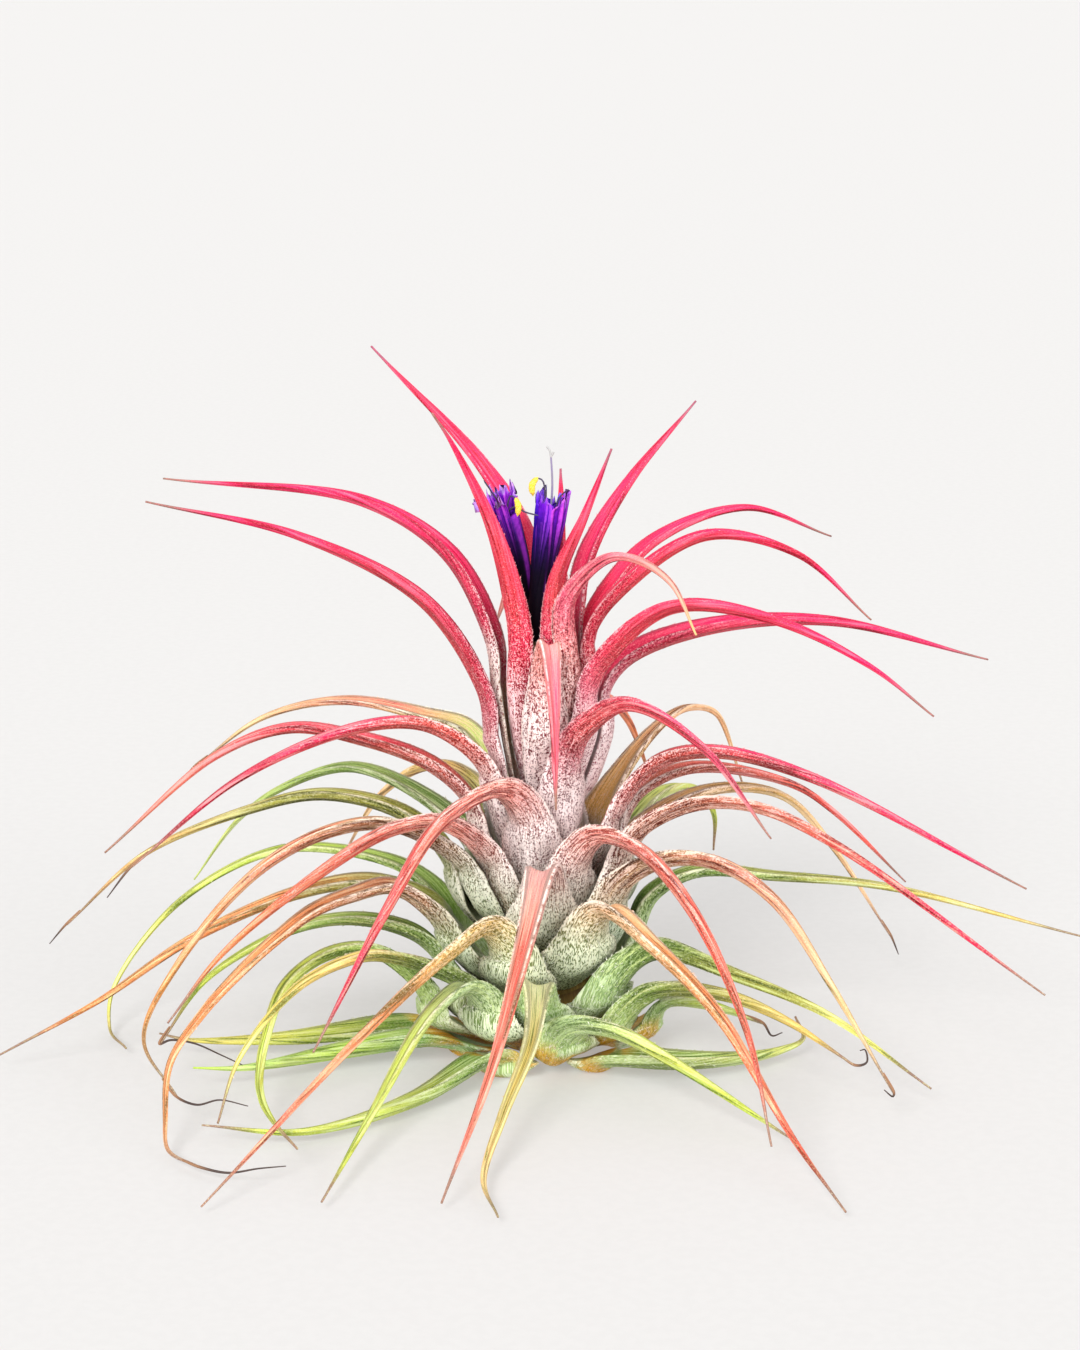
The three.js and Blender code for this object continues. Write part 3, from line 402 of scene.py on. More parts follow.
def remember(azimuth, rings):
    """Keeps a sheath, so that the older ones are laid over it."""
    heights, inners, widths, thicks = rings.T
    slants = []
    for i in range(len(rings)):
        below, above = rings[max(0, i - 1)], rings[min(SHEATH_STEPS, i + 1)]
        rise = above[0] - below[0]
        slants.append(min(3, math.hypot(above[1] - below[1], rise) / rise))
    placed.append({
        "azimuth": azimuth, "heights": heights, "inners": inners,
        "half_turns": np.degrees(widths / 2 / inners), "thicks": thicks * slants,
    })


def bareness(azimuths, heights, number):
    """How far, in mm, each point on sheath number lies outside the sheaths that were laid over it."""
    nearest = np.full(azimuths.shape, 9.0)
    for sheath in placed[number + 1:]:
        off = abs((azimuths - sheath["azimuth"] + 540) % 360 - 180)
        half_turn = np.interp(heights, sheath["heights"], sheath["half_turns"])
        inner = np.interp(heights, sheath["heights"], sheath["inners"])
        beside = np.radians(off - half_turn) * inner
        above = (heights - sheath["heights"][-1]) * 0.8
        nearest = np.minimum(nearest, np.maximum(beside, above))
    return nearest


# One leaf

def smooth_table(values, u):
    """Values at whole places 0, 1, 2 ... read smoothly at the places u."""
    path = Path([(v, 0, 0) for v in values])
    i = np.minimum(u.astype(int), len(values) - 2)
    w = u - i
    p = path.points[:, 0]
    x0, x1, x2, x3 = p[i], p[i + 1], p[i + 2], p[i + 3]
    return 0.5 * (2 * x1 + (x2 - x0) * w + (2 * x0 - 5 * x1 + 4 * x2 - x3) * w ** 2
                  + (3 * x1 - x0 - 3 * x2 + x3) * w ** 3)


def stations_of(row, sheath):
    """The points that the midrib passes: up the sheath, then the blade, pushed out with its shoulder."""
    shoulder = from_cylinder(*row.midrib[0])
    push = sheath[-1][1] - row.midrib[0][1]
    stations = [from_cylinder(row.azimuth, ring[1], ring[0]) for ring in sheath]
    for turn, reach, height in row.midrib[1:]:
        away = np.linalg.norm(from_cylinder(turn, reach, height) - shoulder)
        stations.append(from_cylinder(turn, reach + push * math.exp(-away / PUSH_FADE), height))
    return stations


def ring_places(stations):
    """Places on the path through the stations, one for each ring, about RING_STEP apart."""
    u = []
    for i, (a, b) in enumerate(zip(stations[:-1], stations[1:])):
        steps = max(2, round(np.linalg.norm(b - a) / RING_STEP))
        u.extend(i + k / steps for k in range(steps))
    return np.array(u + [len(stations) - 1.0])


def grow(row):
    """Fine rings of one leaf: its midrib, frame, widths and cups, and how far along each ring is."""
    sheath = sheath_rings(row.azimuth, row.width, row.midrib[0])
    remember(row.azimuth, sheath)
    stations = stations_of(row, sheath)
    u = ring_places(stations)
    spots, tangents = Path(stations).at(u)

    a = math.radians(row.azimuth)
    side = np.array([-math.sin(a), math.cos(a), 0])
    inward = unit(np.cross(tangents[0], side))
    if inward[0] * math.cos(a) + inward[1] * math.sin(a) > 0:
        inward = -inward

    steps = np.linalg.norm(np.diff(spots, axis=0), axis=1)
    lengths = np.concatenate([[0], np.cumsum(steps)])
    on_sheath = u <= SHEATH_STEPS
    shoulder_length = lengths[on_sheath][-1]
    travelled = np.maximum(0, lengths - shoulder_length)
    t = travelled / travelled[-1]
    place = np.minimum(u, SHEATH_STEPS)
    table_width = smooth_table(sheath[:, 2], place)
    table_thick = smooth_table(sheath[:, 3], place)
    table_cup = table_width / 2 / smooth_table(sheath[:, 1], place)

    # past the shoulder the blade narrows, thins and closes up toward its tip
    fade = (1 - t) ** TAPER
    leaving = np.exp(-travelled / SHEATH_FADE)
    blade = min(BLADE_WIDTH, row.width * 0.6) * row.fullness
    blade_width = mix(TIP_WIDTH, mix(blade, sheath[-1][2], np.exp(-travelled / WIDTH_FADE)), fade)
    blade_thick = mix(TIP_THICK * 0.4, BLADE_THICK * mix(0.6, 1, row.width / 10), fade ** 0.7)
    blade_thick = mix(blade_thick, table_thick, leaving)
    blade_cup = mix(np.radians(mix(TIP_CUP, BLADE_CUP, (1 - t) ** 0.5)), table_cup, leaving)
    return {
        "azimuth": row.azimuth, "spots": spots,
        "sides": carried(tangents, side), "inwards": carried(tangents, inward),
        "width": np.where(on_sheath, table_width, blade_width),
        "thick": np.where(on_sheath, table_thick, blade_thick),
        "cup": np.where(on_sheath, table_cup, blade_cup),
        "sunk": np.where(on_sheath, 0, blade_thick / 2 * (1 - leaving)),
        "place": np.where(on_sheath, lengths / shoulder_length, 1 + t),
        "lengths": lengths, "travelled": travelled, "past": lengths - shoulder_length,
    }


def leaf_surface(leaf, number):
    """Points of a leaf, one row a ring: the outer arc, a round margin, the inner arc, the other margin."""
    cup, thick = leaf["cup"][:, None], leaf["thick"][:, None]
    bend = (leaf["width"] / 2 / np.sin(np.minimum(leaf["cup"], math.pi / 2)) - leaf["sunk"])[:, None]
    blade = smooth(0.5, 8, leaf["travelled"])[:, None] * smooth(2.0, 1.75, leaf["place"])[:, None]

    # three low ridges run along the outer face of the blade, and a groove along the upper face
    shares = OUTER_SHARES[None, :]
    ridges = BLADE_RELIEF * blade * np.cos(shares * 3 * math.pi) * (1 - shares ** 4)
    # a sheath swells where nothing lies over it
    on_sheath = smooth(1.12, 0.9, leaf["place"])[:, None] * smooth(0.0, 0.3, leaf["place"])[:, None]
    azimuths = leaf["azimuth"] + np.degrees(shares * leaf["cup"][:, None])
    bare = bareness(azimuths, leaf["spots"][:, 2:] + 0 * azimuths, number)
    swell = SWELLING * on_sheath * smooth(0.2, 4, bare) * (1 - shares ** 2)
    outer = bend + thick * (1 - EDGE_THIN * shares ** 2) + ridges + swell
    inner_shares = INNER_SHARES[None, :]
    groove = BLADE_RELIEF * blade * np.exp(-(inner_shares / 0.22) ** 2)
    inner = bend + groove + 0 * inner_shares
    margin = bend + 0.28 * thick
    reach = np.hstack([outer, margin, inner, margin])
    turn = np.hstack([shares * cup, 0.985 * cup, inner_shares * cup, -0.985 * cup])
    inward, side = leaf["inwards"][:, None, :], leaf["sides"][:, None, :]
    along_inward = (bend - reach * np.cos(turn))[:, :, None]
    along_side = (reach * np.sin(turn))[:, :, None]
    surface = leaf["spots"][:, None, :] + inward * along_inward + side * along_side
    # the lowest leaves lie flat where they rest on the floor
    surface[..., 2] = np.maximum(surface[..., 2], 0)
    return surface, bare


def loft_faces(rings, sides):
    """Quads between the rings of a closed tube, and a flat cap at each end."""
    quads = []
    for i in range(rings - 1):
        for k in range(sides):
            a, b = i * sides + k, i * sides + (k + 1) % sides
            quads.append((a, a + sides, b + sides, b))
    end = (rings - 1) * sides
    quads.append(tuple(range(sides)))
    quads.append(tuple(end + k for k in reversed(range(sides))))
    return quads


def on_screen(stops, x):
    """Colour read from a table of (x, red, green, blue)."""
    places = [s[0] for s in stops]
    return np.stack([np.interp(x, places, [s[1 + k] for s in stops]) for k in range(3)], axis=-1)


def leaf_tones(row, place, past, height, is_inner, share, tint):
    """Colour of each point of a leaf; past is how far, in mm, the point lies beyond the shoulder."""
    column = on_screen(COLUMN_TONES, height)
    if row.name in PALE_SHEATHS:
        column = painted(column, PALE_SHEATHS[row.name], 0.8 * smooth(0.1, 0.6, place))
    near, middle, far = (PAINTS[paint] for paint in row.blade.split())
    tip = PAINTS[DRY_TIPS.get(row.name, "dead" if height.min() < 40 else "plum")]
    stops = [(1.05, *near), (1.2, *near), (1.45, *middle), (1.76, *far), (1.84, *far), (1.94, *tip)]
    tone = painted(column, on_screen(stops, place), smooth(-2.5, 10, past))
    upper = on_screen([(1.12, *near), (1.35, *middle), (1.75, *far), (1.84, *far), (1.94, *tip)], place)
    tone = painted(tone, upper * 1.04, is_inner * smooth(-2, 2, past))
    if row.name in PALE_FOLDS:
        folded = is_inner * smooth(1.5, 1.02, place) * (0.55 + 0.45 * share ** 2)
        tone = painted(tone, PAINTS["fold"], 0.75 * folded)
    # the underside: pale at its start on some, with a brick red band on the other red leaves
    under = 1 - is_inner.round()
    if row.name in PALE_UNDERSIDES:
        tone = painted(tone, PALE_UNDERSIDES[row.name], 0.85 * (under * smooth(64, 55, height)))
    elif row.skin in ("crown", "rose") and row.name != "crown_bent":
        band = under * (1 - share ** 2) * smooth(1.0, 1.15, place) * smooth(1.85, 1.4, place)
        tone = painted(tone, PAINTS["clay"], 0.62 * band)
    # warmer and cooler patches
    patch = 0.5 + 0.5 * np.sin(13 * place + 2.5 * share + 40 * tint[0]) * np.sin(7 * place + 60 * tint[1])
    warm = PAINTS["salmon" if row.skin == "crown" else "tan"]
    tone = painted(tone, warm, 0.22 * patch * smooth(1, 1.3, place))
    # pale margins, except at the shoulders of the lowest leaves
    margin = smooth(0.78, 1, abs(share)) * smooth(1.85, 1.15, place)
    margin = margin * (1 - smooth(24, 14, height) * smooth(0.86, 0.95, place) * smooth(1.25, 1.12, place))
    strength = {"crown": 0.15, "rose": 0.4}.get(row.skin, 0.7)
    tone = painted(tone, PAINTS["margin"], strength * margin)
    return linear(np.clip(tone * tint, 0, 255))


def coat_on(row, place, height, is_inner, share):
    """At each point: how thick the silver scales lie, how dark the flecks are, how lined it is."""
    body = np.interp(place, [0, 0.5, 1, 1.2, 1.5, 1.9], [1, 1, 0.95, 0.8, 0.6, 0.25])
    frost = body * mix(1, BLADE_FROST[row.skin], smooth(0.7, 1.1, place))
    frost = frost * np.interp(height, [42, 62], [1, 0.82])
    if row.skin == "crown":
        frost = frost * mix(1, 0.55, smooth(1.1, 1.35, place))
    if row.name in PALE_UNDERSIDES:
        frost = np.maximum(frost, smooth(66, 58, height))
    frost = np.where(is_inner > 0, frost * 0.65, frost)
    frost = np.clip(frost + 0.35 * smooth(0.8, 1, abs(share)) * smooth(1.8, 1.2, place), 0, 1)
    fleck = np.interp(height, [0, 8, 16, 28, 60, 75], [0.3, 0.45, 0.7, 1, 1, 0.6])
    fleck = fleck * smooth(1.6, 1.05, place)
    if row.name in PALE_SHEATHS:
        fleck = np.maximum(fleck, 0.9 * smooth(1.2, 1, place))
    fleck = fleck * np.where(is_inner > 0, 0.3, 1)
    # the lines begin farther out on the red leaves
    lined = smooth(1.05, 1.45, place) if row.skin in ("crown", "rose") else smooth(0.95, 1.2, place)
    line = mix(0.35, 1, lined) * smooth(0.1, 0.4, place) * smooth(2.0, 1.8, place)
    return frost, fleck, line


def silver_scales(leaf, outer, frost, tones, rng, woolly):
    """Small scales that lie along the leaf, each a closed sliver sunk into the skin; long on the foot."""
    count = SCALES_ON_A_LEAF
    rings, across = outer.shape[:2]
    weight = frost[:-1].mean(axis=1) * leaf["width"][:-1] * np.diff(leaf["lengths"])
    ring = rng.choice(rings - 1, size=count, p=weight / weight.sum())
    share = rng.random(count) * (across - 1)
    at_margin = rng.random(count) < SCALES_AT_THE_MARGIN
    share = np.where(at_margin, np.where(rng.random(count) < 0.5, 0.02, across - 1.02), share)
    column = np.minimum(share.astype(int), across - 2)
    w = (share - column)[:, None]
    low = mix(outer[ring, column], outer[ring, column + 1], w)
    high = mix(outer[ring + 1, column], outer[ring + 1, column + 1], w)
    spot = mix(low, high, rng.random(count)[:, None])
    ahead = unit(high - low)
    beside = unit(outer[ring, column + 1] - outer[ring, column])
    out = unit(np.cross(beside, ahead))
    flare = np.where(at_margin, np.where(share < 1, -1.0, 1.0), 0)[:, None]
    young = np.interp(leaf["place"][ring], [1, 1.9], [1, 0.5])[:, None]
    length = rng.uniform(*SCALE_LENGTH, count)[:, None] * young * mix(1, 1.9, woolly * ~at_margin)[:, None]
    half = rng.uniform(*SCALE_HALF_WIDTH, count)[:, None] * young * mix(1, 0.65, woolly)
    skew = beside * rng.normal(0, mix(0.2, 0.35, woolly), count)[:, None] * length
    tip = spot + ahead * length + skew + out * rng.uniform(0.05, 0.12, count)[:, None]
    tip = tip + beside * flare * length * 0.35
    back = spot - out * 0.05
    crest = back + ahead * length * 0.5
    points = np.stack([back - beside * half, back + beside * half, crest, tip], axis=1)
    points[..., 2] = np.maximum(points[..., 2], 0)
    paleness = rng.uniform(0.3, 0.9, count) * np.interp(leaf["place"][ring], [1, 1.3], [1, 0.6])
    tone = painted(tones[ring, column], linear(PAINTS["scale"]), paleness)
    base = np.arange(count)[:, None] * 4
    faces = np.concatenate([base + np.array(f) for f in ((0, 1, 3), (1, 2, 3), (2, 0, 3), (0, 2, 1))])
    return points.reshape(-1, 3), faces, np.repeat(tone, 4, axis=0)


def dry_thread(name, leaf, start):
    """Points and faces of the dry thread at the end of a leaf; start counts the points before it."""
    if name not in DRY_THREADS:
        return np.zeros((0, 3)), [], np.zeros((0, 3))
    path = Path([*leaf["spots"][[-8, -1]], *(from_cylinder(*p) for p in DRY_THREADS[name])])
    u = np.linspace(0.3, path.count - 1, 10 * path.count)
    radii = DRY_THREAD_RADIUS * np.interp(u, [0.3, 1, path.count - 1], [0.6, 1, 0.35])
    rings = round_body(path, u, radii[:, None], 6, (0, 0, 1))
    tone = painted(linear((150, 112, 84)), linear((78, 66, 62)), smooth(0.8, 1.6, u))
    faces = [tuple(i + start for i in f) for f in loft_faces(len(u), 6)]
    return rings.reshape(-1, 3), faces, np.repeat(tone, 6, axis=0)


def put_in_scene(name, data):
    """An object of the scene made of the data."""
    thing = bpy.data.objects.new(name, data)
    bpy.context.scene.collection.objects.link(thing)
    return thing


def mesh_piece(name, points, faces, materials, nodes, attributes, face_material=None,
               smooth_faces=None):
    """A shown piece from points in millimetres, riding on the plant and standing for its solids."""
    mesh = bpy.data.meshes.new(name)
    mesh.from_pydata((np.asarray(points) * MM).tolist(), [], [tuple(int(i) for i in f) for f in faces])
    for key, values in attributes.items():
        values = np.asarray(values, np.float32)
        if values.ndim == 1:
            mesh.attributes.new(key, "FLOAT", "POINT").data.foreach_set("value", values)
        elif key == "tone":
            rgba = np.hstack([values, np.ones((len(values), 1), np.float32)])
            mesh.attributes.new(key, "FLOAT_COLOR", "POINT").data.foreach_set("color", rgba.ravel())
        else:
            mesh.attributes.new(key, "FLOAT_VECTOR", "POINT").data.foreach_set("vector", values.ravel())
    for material in materials:
        mesh.materials.append(material)
    if face_material is not None:
        mesh.polygons.foreach_set("material_index", np.asarray(face_material, np.int32))
    shade = np.ones(len(faces), bool) if smooth_faces is None else smooth_faces
    mesh.polygons.foreach_set("use_smooth", shade)
    mesh.update()
    piece = put_in_scene(name, mesh)
    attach(piece, BODY)
    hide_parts(*nodes)


# Finishes

class Value:
    """A shader socket that can be written into a sum."""

    def __init__(self, finish, socket):
        self.finish = finish
        self.socket = socket

    def math(self, operation, first, second):
        return self.finish.node("ShaderNodeMath", {"operation": operation}, {0: first, 1: second})

    def __add__(self, other):
        return self.math("ADD", self, other)

    def __sub__(self, other):
        return self.math("SUBTRACT", self, other)

    def __rsub__(self, other):
        return self.math("SUBTRACT", other, self)

    def __mul__(self, other):
        return self.math("MULTIPLY", self, other)

    __radd__ = __add__
    __rmul__ = __mul__


class Finish:
    """A material built from nodes."""

    def __init__(self, name):
        self.material = bpy.data.materials.new(name)
        self.material.use_nodes = True
        self.tree = self.material.node_tree
        self.tree.nodes.clear()

    def node(self, kind, settings=None, inputs=None, output=0):
        made = self.tree.nodes.new(kind)
        for key, value in (settings or {}).items():
            setattr(made, key, value)
        for key, value in (inputs or {}).items():
            if isinstance(value, Value):
                self.tree.links.new(value.socket, made.inputs[key])
            else:
                made.inputs[key].default_value = value
        return Value(self, made.outputs[output]) if made.outputs else None

    def attribute(self, name, output):
        return self.node("ShaderNodeAttribute", {"attribute_name": name}, output=output)

    def scaled(self, vector, factors):
        return self.node("ShaderNodeVectorMath", {"operation": "MULTIPLY"}, {0: vector, 1: factors})

    def noise(self, vector, scale=1.0, detail=2.0, roughness=0.55):
        return self.node("ShaderNodeTexNoise", {},
                         {"Vector": vector, "Scale": scale, "Detail": detail, "Roughness": roughness})

    def between(self, value, low, high):
        return self.node("ShaderNodeMapRange", {"interpolation_type": "SMOOTHSTEP"},
                         {"Value": value, "From Min": low, "From Max": high})

    def mixed(self, factor, first, second, blend="MIX"):
        return self.node("ShaderNodeMix", {"data_type": "RGBA", "blend_type": blend},
                         {0: factor, 6: first, 7: second}, output=2)

    def finish(self, inputs, height=None, depth=0.0001, strength=0.6):
        if height is not None:
            relief = {"Height": height, "Distance": depth, "Strength": strength}
            inputs["Normal"] = self.node("ShaderNodeBump", {}, relief)
        shader = self.node("ShaderNodeBsdfPrincipled", {}, inputs)
        self.node("ShaderNodeOutputMaterial", {}, {"Surface": shader})
        return self.material


def rgba(*screen):
    return (*linear(screen), 1)


# what the skin is multiplied by in its dark flecks and lines, and what its pale lines turn to
SHADOW_TONES = {
    "crown": rgba(160, 70, 100), "rose": rgba(126, 56, 76), "coral": rgba(130, 70, 76),
    "tan": rgba(128, 92, 76), "green": rgba(116, 136, 84), "olive": rgba(112, 126, 72),
    "lime": rgba(130, 150, 78),
}
LINE_TONES = {
    "crown": rgba(250, 112, 138), "rose": rgba(246, 160, 160), "coral": rgba(250, 196, 172),
    "tan": rgba(248, 216, 170), "green": rgba(222, 236, 176), "olive": rgba(226, 228, 160),
    "lime": rgba(226, 242, 160),
}


def leaf_skin(colour):
    """Leathery skin with lengthwise lines and dark flecks, under silver frost.

    The frost lies in grains on the sheaths, in strands on the blades, and in fine wool on the foot.
    """
    f = Finish("leaf_skin_" + colour)
    tone = f.attribute("tone", 0)
    grain = f.attribute("grain", 1)
    frost = f.attribute("frost", 2)
    fleck = f.attribute("fleck", 2)
    line = f.attribute("line", 2)
    wool = f.attribute("wool", 2)
    granule = f.noise(f.scaled(grain, (4.0, 2.1, 1)), detail=1.5)
    fine = f.noise(f.scaled(grain, (8.5, 5, 1)), detail=1.0)
    fluff = f.noise(f.scaled(grain, (7, 1.8, 1)), detail=1.5)
    strand = f.noise(f.scaled(grain, (7, 0.45, 1)), detail=1.0)
    speck = granule * 0.5 + fine * 0.5
    speck = speck * (1 - line) + (strand * 0.6 + fine * 0.4) * line
    speck = speck * (1 - wool * 0.8) + fluff * (wool * 0.8)
    bare = 0.65 - frost * 0.2
    cover = f.between(speck - bare, -0.022, 0.022)
    hollow = f.between(speck, 0.5, 0.43) * fleck
    wide_streak = f.noise(f.scaled(grain, (2.1, 0.06, 1)))
    streak = wide_streak * 0.55 + f.noise(f.scaled(grain, (5.0, 0.14, 1))) * 0.45
    pale_line = f.between(streak, 0.5, 0.6) * line
    dark_line = f.between(streak, 0.49, 0.4) * line
    blotch = f.noise(f.scaled(grain, (0.5, 0.16, 1)), detail=1.0)
    shadow = f.mixed(wool, SHADOW_TONES[colour], rgba(116, 138, 84))
    silver = f.mixed(wool, rgba(255, 250, 248), rgba(236, 244, 218))
    skin = f.mixed(f.between(blotch, 0.35, 0.7) * 0.2, tone, shadow, "MULTIPLY")
    skin = f.mixed(pale_line * 0.6, skin, LINE_TONES[colour])
    skin = f.mixed(dark_line * 0.9, skin, shadow, "MULTIPLY")
    skin = f.mixed(f.between(fine, 0.5, 0.6) * 0.25, skin, LINE_TONES[colour])
    skin = f.mixed(hollow, skin, shadow, "MULTIPLY")
    shown = cover * (frost * 0.78 + 0.08) * (1 - line * 0.5) * (1 - dark_line * 0.6)
    coloured = f.mixed(shown, skin, silver)
    return f.finish(
        {"Base Color": coloured, "Roughness": 0.5 + cover * 0.32, "Specular IOR Level": 0.2},
        height=cover * 0.5 + pale_line * 0.3 - hollow * 0.4, depth=0.00014, strength=0.8)


def scale_skin():
    f = Finish("silver_scale")
    return f.finish({"Base Color": f.attribute("tone", 0), "Roughness": 0.85, "Specular IOR Level": 0.2})


def dress_skin(row, leaf, points, bare, is_inner, share, tint):
    """Tone, frost, flecks and lines at each point of a leaf; painted shade and light; ochre at the seat."""
    place = np.repeat(leaf["place"][:, None], points.shape[1], axis=1)
    past = leaf["past"][:, None] + 0 * place
    height = points[..., 2]
    radius = np.hypot(points[..., 0], points[..., 1])
    tones = leaf_tones(row, place, past, height, is_inner, share, tint)
    frost, fleck, line = coat_on(row, place, height, is_inner, share)

    # painted shade in the crevices where the margin of the next sheath lies on this one
    painted_crevice_shade = np.ones(place.shape)
    below = smooth(1.1, 1.0, leaf["place"])[:, None]
    painted_crevice_shade[:, :len(OUTER_SHARES)] = mix(1, mix(0.12, 1, smooth(-0.3, 2.6, bare) ** 0.8), below)
    # painted light and shade rounding each sheath: brighter in the middle, darker to its sides and foot
    rounding_light_and_shade = 1.1 - 0.4 * abs(share) ** 2.2 * smooth(0.97, 0.8, abs(share)) - 0.12 * smooth(0.5, 0.1, place)
    painted_rounding = mix(1, rounding_light_and_shade, (1 - is_inner) * smooth(1.25, 0.95, place))
    # the pale sheaths take less of the painted crevice shade and rounding
    if row.name in PALE_SHEATHS:
        painted_crevice_shade = mix(painted_crevice_shade, 1, 0.6)
        painted_rounding = mix(painted_rounding, 1, 0.6)
    # the painted shade and light darken the tones, and the frost thins in the painted crevice shade
    tones = tones * (painted_crevice_shade * painted_rounding)[..., None]
    frost = frost * mix(0.35, 1, painted_crevice_shade)

    # the seats of the lowest leaves are ochre
    seat = smooth(7, 4, height) * smooth(22, 17, radius)
    seat = seat * smooth(0.0, 0.5, 0.6 + np.sin(radius * 0.9 + share * 3))
    tones = painted(tones, linear(PAINTS["ochre"]), seat)
    return tones, frost * (1 - 0.8 * seat), fleck, line


def make_leaf(number, row, leaf, skins, silver):
    """One shown leaf with its scales and, where it has one, its dry thread."""
    rng = np.random.default_rng(100 + number)
    points, bare = leaf_surface(leaf, number)
    rings, sides = points.shape[:2]
    outer = slice(0, len(OUTER_SHARES))
    share = np.tile(np.concatenate([OUTER_SHARES, [1], INNER_SHARES, [-1]]), (rings, 1))
    is_inner = np.repeat([0, 0.4, 1, 0.4], [len(OUTER_SHARES), 1, len(INNER_SHARES), 1])
    is_inner = np.tile(is_inner, (rings, 1))
    tint = rng.uniform(0.96, 1.04, 3)
    tones, frost, fleck, line = dress_skin(row, leaf, points, bare, is_inner, share, tint)

    # where each point lies on the unrolled leaf, in mm, for the grain of the skin
    bend = (leaf["width"] / 2 / np.sin(np.minimum(leaf["cup"], math.pi / 2)))[:, None]
    across = share * leaf["cup"][:, None] * bend + 40 * is_inner.round()
    along = np.repeat(leaf["lengths"][:, None], sides, axis=1)
    grain = np.stack([across, along, np.full_like(across, 7.3 * number)], axis=-1)

    faces = loft_faces(rings, sides)
    woolly = float(smooth(34, 18, row.midrib[0][2]))
    scale_points, scale_faces, scale_tones = silver_scales(
        leaf, points[:, outer], frost[:, outer], tones[:, outer], rng, woolly)
    scale_faces = [tuple(f + rings * sides) for f in scale_faces]
    dry_points, dry_faces, dry_tones = dry_thread(row.name, leaf, rings * sides + len(scale_points))
    added = len(scale_points) + len(dry_points)

    def on_skin(values):
        return np.concatenate([values.ravel(), np.zeros(added)])

    attributes = {
        "tone": np.vstack([tones.reshape(-1, 3), scale_tones, dry_tones]),
        "frost": on_skin(frost), "fleck": on_skin(fleck), "line": on_skin(line),
        "wool": on_skin(smooth(32, 18, points[..., 2])),
        "grain": np.vstack([grain.reshape(-1, 3), np.zeros((added, 3))]),
    }
    all_points = np.vstack([points.reshape(-1, 3), scale_points, dry_points])
    which = np.concatenate([np.zeros(len(faces)), np.ones(len(scale_faces) + len(dry_faces))])
    name = "leaf_" + row.name
    mesh_piece(name, all_points, faces + scale_faces + dry_faces, [skins[row.skin], silver],
               [name], attributes, which, which == 0)


def grow_leaves():
    """All leaves. The youngest grow first, since every older sheath lies over the younger ones."""
    skins = {colour: leaf_skin(colour) for colour in SHADOW_TONES}
    silver = scale_skin()
    youngest_first = sorted(LEAVES, key=lambda row: -row.midrib[0][2])
    grown = [grow(row) for row in youngest_first]
    for number, (row, leaf) in enumerate(zip(youngest_first, grown)):
        make_leaf(number, row, leaf, skins, silver)


# Stem

def bark():
    f = Finish("old_leaf_bases")
    tone = f.attribute("tone", 0)
    grain = f.attribute("grain", 1)
    fibres = f.noise(f.scaled(grain, (3.0, 0.5, 1)), detail=3.0)
    colour = f.mixed(f.between(fibres, 0.35, 0.65) * 0.55, tone, rgba(96, 66, 38))
    return f.finish({"Base Color": colour, "Roughness": 0.8}, height=fibres, depth=0.0003)


def make_stem():
    """The stem with the scars of its old leaves in a spiral."""
    sides = 120
    heights = np.concatenate([np.linspace(0, 14, 60), np.linspace(14.5, 60, 46)])
    turns = np.linspace(0, 2 * math.pi, sides, endpoint=False)
    h, a = np.meshgrid(heights, turns, indexing="ij")
    core = read(STEM_PROFILE, h)
    # wavy rows of overlapping scars, each row turned against the one below
    climb = h / SCAR_ROW + 0.12 * np.sin(3 * a)
    row = np.floor(climb)
    rise = climb - row
    around = a / (2 * math.pi) * SCARS_ROUND + 0.38 * row
    across = around % 1 - 0.5
    scar = np.clip(1 - (2 * across) ** 2, 0, 1) ** 0.5 * (1 - rise) * smooth(0, 0.16, rise)
    radius = core + SCAR_RELIEF * scar * smooth(0.2, 1.2, h) * smooth(60, 56, h) - 0.1
    points = np.stack([radius * np.cos(a), radius * np.sin(a), h], axis=-1)
    tone = painted(np.array([206, 160, 52.0]), (150, 138, 92), smooth(3, 16, h))
    tone = painted(tone, (104, 72, 44), 0.75 * (1 - scar) ** 2 * smooth(30, 10, h))
    dry = 0.5 + 0.5 * np.sin(5.7 * np.floor(around) + 2.3 * row)
    tone = painted(tone, (214, 196, 150), 0.45 * dry * scar * smooth(12, 4, h))
    grain = np.stack([a * 7, h, 0 * h], axis=-1)
    faces = [tuple(reversed(f)) for f in loft_faces(len(heights), sides)]
    mesh_piece("stem", points.reshape(-1, 3), faces, [bark()], ["stem"],
               {"tone": linear(tone).reshape(-1, 3), "grain": grain.reshape(-1, 3)})


# Flowers

# how late the violet flushes up the tube, above 1 later
FLUSH = 1.5
# radii of the threads of a flower at their foot and end, and how far in on the disc a filament stands
FILAMENT_RADII = (0.15, 0.11)
STYLE_RADII = (0.19, 0.13)
STIGMA_RADII = (0.13, 0.15)
FILAMENT_SEAT = 0.32

